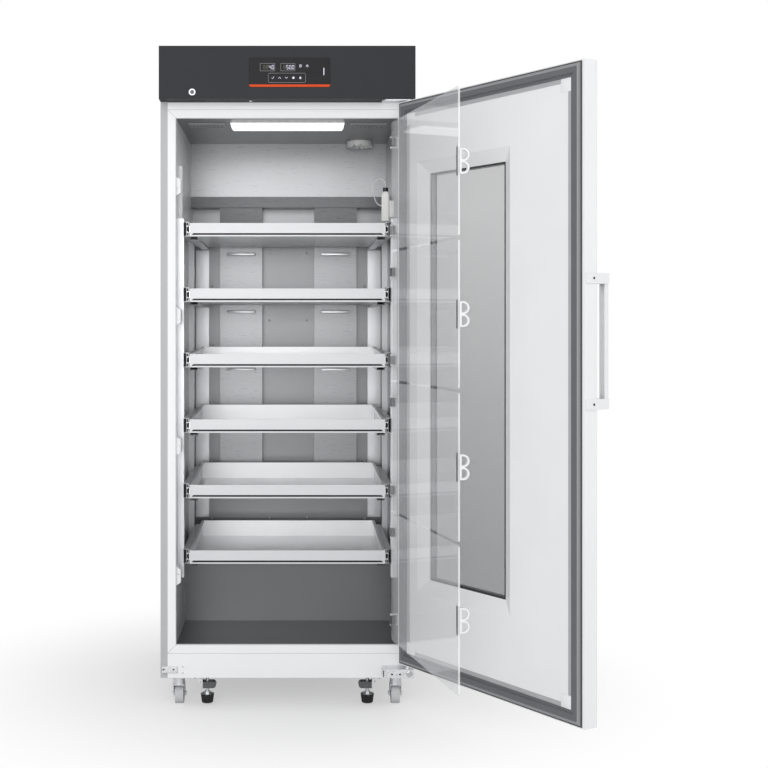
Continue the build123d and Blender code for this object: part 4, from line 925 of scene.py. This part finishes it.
class REFRIGERATOR_OT_finishes(Operator):
    """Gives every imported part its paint, steel, plastic, rubber or glass"""

    bl_idname = "refrigerator.finishes"
    bl_label = "Finishes"

    def execute(self, context):
        self.cabinet()
        self.inside()
        self.moving()
        return {"FINISHED"}

    def cabinet(self):
        """The shell, the frame, the head and what is under the base."""
        chosen = colours()
        paint = painted("white paint", tuple(chosen.white), 0.38)
        plastic = moulded("white moulding", tuple(chosen.moulding), 0.36)
        fascia = moulded(
            "fascia moulding", tuple(chosen.fascia), 0.55, 1100.0, 0.25, Specular_IOR_Level=0.2
        )
        gloss = moulded(
            "panel gloss", tuple(chosen.panel), 0.3, 400.0, 0.02, Specular_IOR_Level=0.15
        )
        trim = moulded("trim moulding", tuple(chosen.trim), 0.5, Specular_IOR_Level=0.15)
        dress(painted("shell paint", tuple(chosen.shell), 0.42), "outer_shell", "rear_cover")
        dress(paint, "front_frame", "kick_panel", "door_shell")
        dress(plastic, "door_liner", "inner_hinges", "door_catches", "door_handle")
        dress(plastic, "door_switch_plunger")
        dress(fascia, "fascia_cover")
        dress(gloss, "control_panel")
        dress(trim, "accent_strip")
        dress(brushed("lock steel", grey(168), 0.3, "X"), "lock_cylinder")
        dress(moulded("black moulding", grey(26, 0, 2), 0.45), "door_switch")
        dress(zinc("base zinc plate", 0.2591), "base_brackets")
        dress(rubber("foam", screen_colour(232, 218, 176), 0.85), "insulation")
        dress(painted("machine black", grey(28, 0, 2), 0.35), "cooling_unit")

    def inside(self):
        """The lining and what is fixed to it."""
        level = brushed("level steel", tuple(colours().steel), 0.28, "X", 0.6)
        # Grilles beside the lamp, their white plastic painted grey as painted shade, and the white
        # ring behind them.
        outlets = two_tone(
            "ceiling outlets", "Y", 0.0, grey(150), screen_colour(244, 244, 243),
            (1500.0, 6.0), (0.38, 0.52), 0.15,
        )
        # The white bottle, and the black of its cap above the shoulder.
        bottle = two_tone(
            "sensor bottle", "Z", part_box("sensor_bottle")[1].z - 0.0129,
            screen_colour(246, 246, 244), grey(30, 0, 2), (1200.0, 30.0), (0.3, 0.45), 0.1,
        )
        dress(lining_finish(), "inner_liner")
        dress(level, "evaporator_cover", "air_ducts")
        dress(post_finish(), "side_uprights")
        dress(outlets, "ceiling_vents")
        dress(bottle, "sensor_bottle")
        dress(lamp_lens(), "ceiling_lamp")
        dress(brushed("coil fins", grey(205), 0.4, "Z"), "evaporator")

    def moving(self):
        """The doors, drawers, slides, casters, feet and lock plug."""
        clear, fittings, drawer, plate = clear_sheet(), fittings_finish(), drawer_finish(), zinc()
        # Plated slides, darker at the front ends of the races as painted shade.
        slides = two_tone(
            "slide steel", "Y", -0.3203, grey(148), grey(214),
            (600.0, 40.0), (0.28, 0.46), 0.1, Metallic=0.85,
        )
        # A black grip, and bright metal from its nut up.
        foot = two_tone(
            "levelling foot", "Z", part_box("foot_left")[0].z + 0.0268,
            grey(18, 0, 2), grey(206), (800.0, 30.0), (0.3, 0.55), 0.15, metal=True,
        )
        tyre = rubber("tyre rubber", grey(192))
        dress(gasket_finish(), "door_gasket")
        dress(window_glass(), "window_glass")
        dress(brushed("lock plug steel", grey(84), 0.3, "Z"), "lock_plug")
        dress(plate, "hinge_brackets")
        dress(slides, "fixed_slides")
        for number in range(1, INNER_DOORS + 1):
            dress(clear, f"inner_door_{number}")
            dress(fittings, f"inner_door_fittings_{number}")
        for number in range(1, DRAWERS + 1):
            dress(drawer, f"drawer_{number}")
            dress(slides, f"slide_middle_{number}")
        for side in ("left", "right"):
            dress(plate, f"caster_fork_{side}")
            dress(tyre, f"caster_wheel_front_{side}", f"caster_wheel_rear_{side}")
            dress(foot, f"foot_{side}")


SEGMENTS = {"0": "abcdef", "4": "fgbc", "5": "afgcd", "8": "abcdefg"}


class REFRIGERATOR_OT_display(Operator):
    """Adds the figures, outlines, key symbols and lights of the control panel"""

    bl_idname = "refrigerator.display"
    bl_label = "Display"

    def execute(self, context):
        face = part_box("control_panel")[0].y
        glow = lit("lit figures", tuple(colours().digits), 0.62)
        self.figures(face + 0.0008, glow)
        self.outlines(face)
        self.symbols(face, glow)
        return {"FINISHED"}

    def figures(self, y, glow):
        """The two readings, and the unlit bars before them."""
        lit_bars, unlit = bmesh.new(), bmesh.new()
        height = sizes().digit_height
        z = 1.9303
        for right, reading in ((-0.0395, "4.0"), (0.0210, "50.0")):
            x = right - height * 0.52
            places = 4
            for sign in reversed(reading):
                if sign == ".":
                    low = (x + height * 0.54, y - FIGURE, z)
                    put(lit_bars, block(low, (x + height * 0.64, y, z + height * 0.1)))
                    continue
                self.figure(lit_bars, SEGMENTS[sign], Vector((x, y, z)), height, FIGURE)
                x -= height * 0.68
                places -= 1
            for _ in range(places):
                self.figure(unlit, SEGMENTS["8"], Vector((x, y, z)), height, MARK)
                x -= height * 0.68
        ghost = moulded("unlit bars", screen_colour(74, 74, 52), 0.4)
        finished("display_figures", lit_bars, glow, "cabinet")
        finished("display_unlit_bars", unlit, ghost, "cabinet")

    def figure(self, target, which, place, height, thickness):
        """Adds a seven-bar figure, drawn from its lower left corner."""
        width, line, half = height * 0.52, height * 0.11, height / 2
        left, right = line / 2, width - line / 2
        upper, lower = half * 1.5 - line / 4, half * 0.5 + line / 4
        across = {"a": height - line / 2, "g": half, "d": line / 2}
        upright = {"f": (left, upper), "b": (right, upper), "e": (left, lower), "c": (right, lower)}
        for bar in which:
            if bar in across:
                x, z, length, turn = width / 2, across[bar], width - line * 1.1, 0
            else:
                (x, z), length, turn = upright[bar], half - line * 0.9, 90
            part = block((-length / 2, -thickness, -line / 2), (length / 2, 0, line / 2))
            turned_bar = Matrix.Rotation(math.radians(turn), 4, "Y")
            merge(target, part, Matrix.Translation(place + Vector((x, 0, z))) @ turned_bar)

    def outlines(self, y):
        """The grey lines round the two windows and round the keys."""
        lines = bmesh.new()
        for x0, x1, z0, z1, radius in (
            (-0.0815, -0.0365, 1.9248, 1.9480, 0.0016),
            (-0.0198, 0.0240, 1.9248, 1.9480, 0.0016),
            (-0.0570, 0.0555, 1.8900, 1.9190, 0.0050),
        ):
            part = rounded_outline(x1 - x0, z1 - z0, radius, sizes().outline_width, MARK)
            put(lines, part, ((x0 + x1) / 2, y, (z0 + z1) / 2))
        paint = moulded("panel lines", grey(120, 0, 4), 0.4)
        finished("panel_outlines", lines, paint, "cabinet")

    def symbols(self, y, glow):
        """Five touch keys, two small lights and an upright mark."""
        marks = bmesh.new()
        z = KEY_HEIGHT
        lines = [
            ((-0.0460, z), (-0.0438, z - 0.0026), 0.0012),
            ((-0.0438, z - 0.0026), (-0.0398, z + 0.0034), 0.0012),
            ((0.0364, z - 0.0020), (0.0424, z - 0.0020), 0.0011),
            ((0.0400, 1.9385), (0.0400, 1.9421), 0.0011),
            ((0.1100, 1.9135), (0.1100, 1.9335), 0.0026),
        ]
        for x, up in ((-0.0223, 1), (-0.0023, -1)):
            for side in (-1, 1):
                foot = (x + side * 0.0034, z - up * 0.0018)
                lines.append((foot, (x, z + up * 0.0018), 0.0012))
        for turn in (math.radians(-60), 0, math.radians(60)):
            reach = Vector((math.sin(turn), math.cos(turn))) * 0.0042
            middle = Vector((0.0603, LIGHT_HEIGHT))
            lines.append((middle - reach, middle + reach, 0.0009))
        for start, end, width in lines:
            stroke(marks, start, end, width, y)
        for x, height, radius, sides in ((0.0187, z, 0.0036, 24), (0.0394, z - 0.0036, 0.0009, 12)):
            put(marks, rod(radius, MARK, sides), (x, y - MARK / 2, height), "-Y")
        put(marks, rounded_plate(0.0052, 0.0052, 0.0024, MARK), (0.0394, y - MARK, z + 0.0008))
        ring = rounded_outline(0.0082, 0.0082, 0.0040, 0.0011, MARK)
        put(marks, ring, (0.0400, y, LIGHT_HEIGHT))
        finished("panel_symbols", marks, glow, "cabinet")


class REFRIGERATOR_OT_screws(Operator):
    """Sets the visible screws of the lining, the catches, the hinges and the lower brackets"""

    bl_idname = "refrigerator.screws"
    bl_label = "Screws"

    def execute(self, context):
        steel = polished()
        dark = kept("black moulding")
        self.lining(steel)
        self.brackets(steel, dark)
        marks = bmesh.new()
        for z in (0.9620, 1.2820):
            drive(marks, (-0.388, -0.4065, z), "-X", 0.0030)
        finished("handle_screws", swung(marks), dark, "outer_door")
        return {"FINISHED"}

    def lining(self, steel):
        """The screws of the rear wall, the catches and the inner hinges."""
        radius = sizes().screw_radius
        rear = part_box("inner_liner")[1].y - 0.002
        inside = bmesh.new()
        for side in (-1, 1):
            for z in (1.419, 1.182, 0.485):
                drive(inside, (side * 0.066, rear, z), "-Y", radius)
            for z in (1.302, 1.096, 0.891, 0.686, 0.483):
                drive(inside, (side * 0.269, rear - 0.008, z), "-Y", radius)
        finished("lining_screws", inside, kept("white moulding"), "cabinet")
        hinges = bmesh.new()
        for door in range(INNER_DOORS):
            for z in (0.256, 0.274, 0.524, 0.542):
                place = (0.3355, -0.336, z + INNER_DOOR_PITCH * door)
                drive(hinges, place, "-X", radius * 0.7)
        for z in (1.584, 1.186, 0.797, 0.405):
            drive(hinges, (-0.3315, FRONT + 0.013, z), "-Y", radius * 0.8)
        finished("hinge_screws", hinges, steel, "cabinet")

    def brackets(self, steel, dark):
        """The bolts and bosses of the lower brackets and under the base, and black marks of painted
        shade for their holes.
        """
        bright, holes = bmesh.new(), bmesh.new()
        plate_y, cover_y = FRONT - 0.048, FRONT - 0.006
        for x in (0.2965, 0.325):
            drive(bright, (x, plate_y, 0.116), "-Y", 0.0028)
        # Painted shade: the holes and the slot are black marks on the plate.
        for x in (0.3145, 0.3385):
            hole = rounded_plate(0.0065, 0.005, 0.002, MARK)
            put(holes, hole, (x, plate_y - MARK, 0.116))
        slot = rounded_plate(0.003, 0.020, 0.0012, MARK)
        put(holes, slot, (0.2895, plate_y - MARK, 0.118))
        put(bright, bolt(0.0075, 0.004), (0.367, plate_y, 0.118), "-Y")
        for x in (-0.3748, -0.3451):
            self.boss(bright, holes, (x, cover_y, 0.1203))
            drive(bright, (x, cover_y, 0.1105), "-Y", 0.0018)
        for z in (0.1265, 0.1075):
            drive(bright, (-0.3175, FRONT, z), "-Y", 0.0026)
        for x in (-0.282, 0.280):
            put(bright, bolt(0.005, 0.007), (x, FRONT + 0.02, 0.093), "-Z")
            plate_x = math.copysign(0.266, x)
            for z in (0.073, 0.086):
                drive(bright, (plate_x, FRONT + 0.030, z), "-Y", 0.0032)
        finished("bracket_bolts", bright, steel, "cabinet")
        finished("bracket_hole_shade", holes, dark, "cabinet")

    def boss(self, bright, holes, place):
        """A raised ring, with a black disc of painted shade for the hole in it."""
        bore, rim, shoulder, height = 0.0020, 0.0044, 0.0012, 0.0020
        outline = [
            (bore, 0), (rim, 0), (rim, shoulder), (0.0036, height), (bore, height), (bore, 0)
        ]
        put(bright, turned(outline), place, "-Y")
        # Painted shade: a black disc stands for the hole.
        hole = rod(bore, 0.0008, 16)
        bmesh.ops.translate(hole, vec=(0, 0, 0.0006), verts=hole.verts)
        put(holes, hole, place, "-Y")


class REFRIGERATOR_OT_door_trim(Operator):
    """Adds the gasket's inner lips, light grey as painted highlight, and the white pieces in its
    corners
    """

    bl_idname = "refrigerator.door_trim"
    bl_label = "Door trim"

    def execute(self, context):
        face = FRONT - 0.008
        half, low, high = 0.339, 0.183, 1.795
        wide, tall, lip = 0.037, 0.035, 0.012
        strips, corners = bmesh.new(), bmesh.new()
        ends = ((low, low + tall, low + lip), (high, high - tall, high - lip))
        for side in (-1, 1):
            x = sorted((side * half, side * (half - lip)))
            front = (x[1], face + 0.0012, high - tall)
            put(strips, block((x[0], face, low + tall), front, 0.0003, 1))
            x = sorted((side * half, side * (half - wide)))
            for outer, inner, _ in ends:
                z = sorted((outer, inner))
                corner = block((x[0], face, z[0]), (x[1], face + 0.0018, z[1]), 0.0006)
                put(corners, corner)
        for outer, _, inner in ends:
            z = sorted((outer, inner))
            front = (half - wide, face + 0.0012, z[1])
            put(strips, block((wide - half, face, z[0]), front, 0.0003, 1))
        # The inner lips are light grey as a painted highlight along the gasket.
        lips = rubber("gasket lip", grey(168), 0.5)
        finished("gasket_lip_highlights", swung(strips), lips, "outer_door")
        plastic = kept("white moulding")
        finished("gasket_corners", swung(corners), plastic, "outer_door")
        return {"FINISHED"}


class REFRIGERATOR_OT_seams(Operator):
    """Draws the thin seams of the frame and the bright inserts of the air ducts' slots"""

    bl_idname = "refrigerator.seams"
    bl_label = "Seams and slots"

    def execute(self, context):
        width = sizes().seam_width
        lines = bmesh.new()
        for side in (-1, 1):
            outer, inner = side * FRAME_HALF, side * OPENING_HALF
            for start, end in (
                ((outer, FRAME_LOW), (inner, OPENING_LOW)),
                ((outer, FRAME_HIGH), (inner, OPENING_HIGH)),
                ((outer, 0.094), (outer, 1.841)),
            ):
                stroke(lines, start, end, width, FRONT, SEAM)
        for z in (FRAME_LOW, FRAME_HIGH):
            stroke(lines, (-FRAME_HALF, z), (FRAME_HALF, z), width, FRONT, SEAM)
        shadow = moulded("seam shadow", grey(168), 0.6)
        finished("frame_seams", lines, shadow, "cabinet")
        slots = bmesh.new()
        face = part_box("air_ducts")[0].y
        for side in (-1, 1):
            for number in range(DRAWERS - 1):
                part = rounded_plate(0.0988, 0.0098, 0.0046, 0.0012, 0.0003)
                height = 1.4130 - DRAWER_PITCH * number
                put(slots, part, (side * 0.165, face - 0.0004, height))
        bright = brushed("slot insert", grey(204), 0.3, "X", 0.9)
        finished("duct_slot_lips", slots, bright, "cabinet")
        return {"FINISHED"}


class REFRIGERATOR_PT_parts(Panel):
    """Shows the buttons of the refrigerator's operators, and its colours and sizes"""

    bl_idname = "REFRIGERATOR_PT_parts"
    bl_label = "Refrigerator"
    bl_space_type = "VIEW_3D"
    bl_region_type = "UI"
    bl_category = "Refrigerator"

    def draw(self, context):
        layout = self.layout
        for made in OPERATORS:
            layout.operator(made.bl_idname)
        for settings in (context.scene.refrigerator_colours, context.scene.refrigerator_sizes):
            box = layout.box()
            for name in settings.__annotations__:
                box.prop(settings, name)


OPERATORS = (
    REFRIGERATOR_OT_effects,
    REFRIGERATOR_OT_stage,
    REFRIGERATOR_OT_lead,
    REFRIGERATOR_OT_finishes,
    REFRIGERATOR_OT_display,
    REFRIGERATOR_OT_screws,
    REFRIGERATOR_OT_door_trim,
    REFRIGERATOR_OT_seams,
)
CLASSES = (RefrigeratorColours, RefrigeratorSizes, *OPERATORS, REFRIGERATOR_PT_parts)


def register():
    """Adds the classes and the settings to Blender."""
    for made in CLASSES:
        bpy.utils.register_class(made)
    bpy.types.Scene.refrigerator_colours = PointerProperty(type=RefrigeratorColours)
    bpy.types.Scene.refrigerator_sizes = PointerProperty(type=RefrigeratorSizes)


def unregister():
    """Takes them out again."""
    del bpy.types.Scene.refrigerator_sizes
    del bpy.types.Scene.refrigerator_colours
    for made in reversed(CLASSES):
        bpy.utils.unregister_class(made)


def main():
    """Builds everything in order."""
    register()
    bpy.ops.refrigerator.effects()
    bpy.ops.refrigerator.stage()
    bpy.ops.refrigerator.lead()
    bpy.ops.refrigerator.finishes()
    bpy.ops.refrigerator.display()
    bpy.ops.refrigerator.screws()
    bpy.ops.refrigerator.door_trim()
    bpy.ops.refrigerator.seams()


if __name__ == "__main__":
    main()
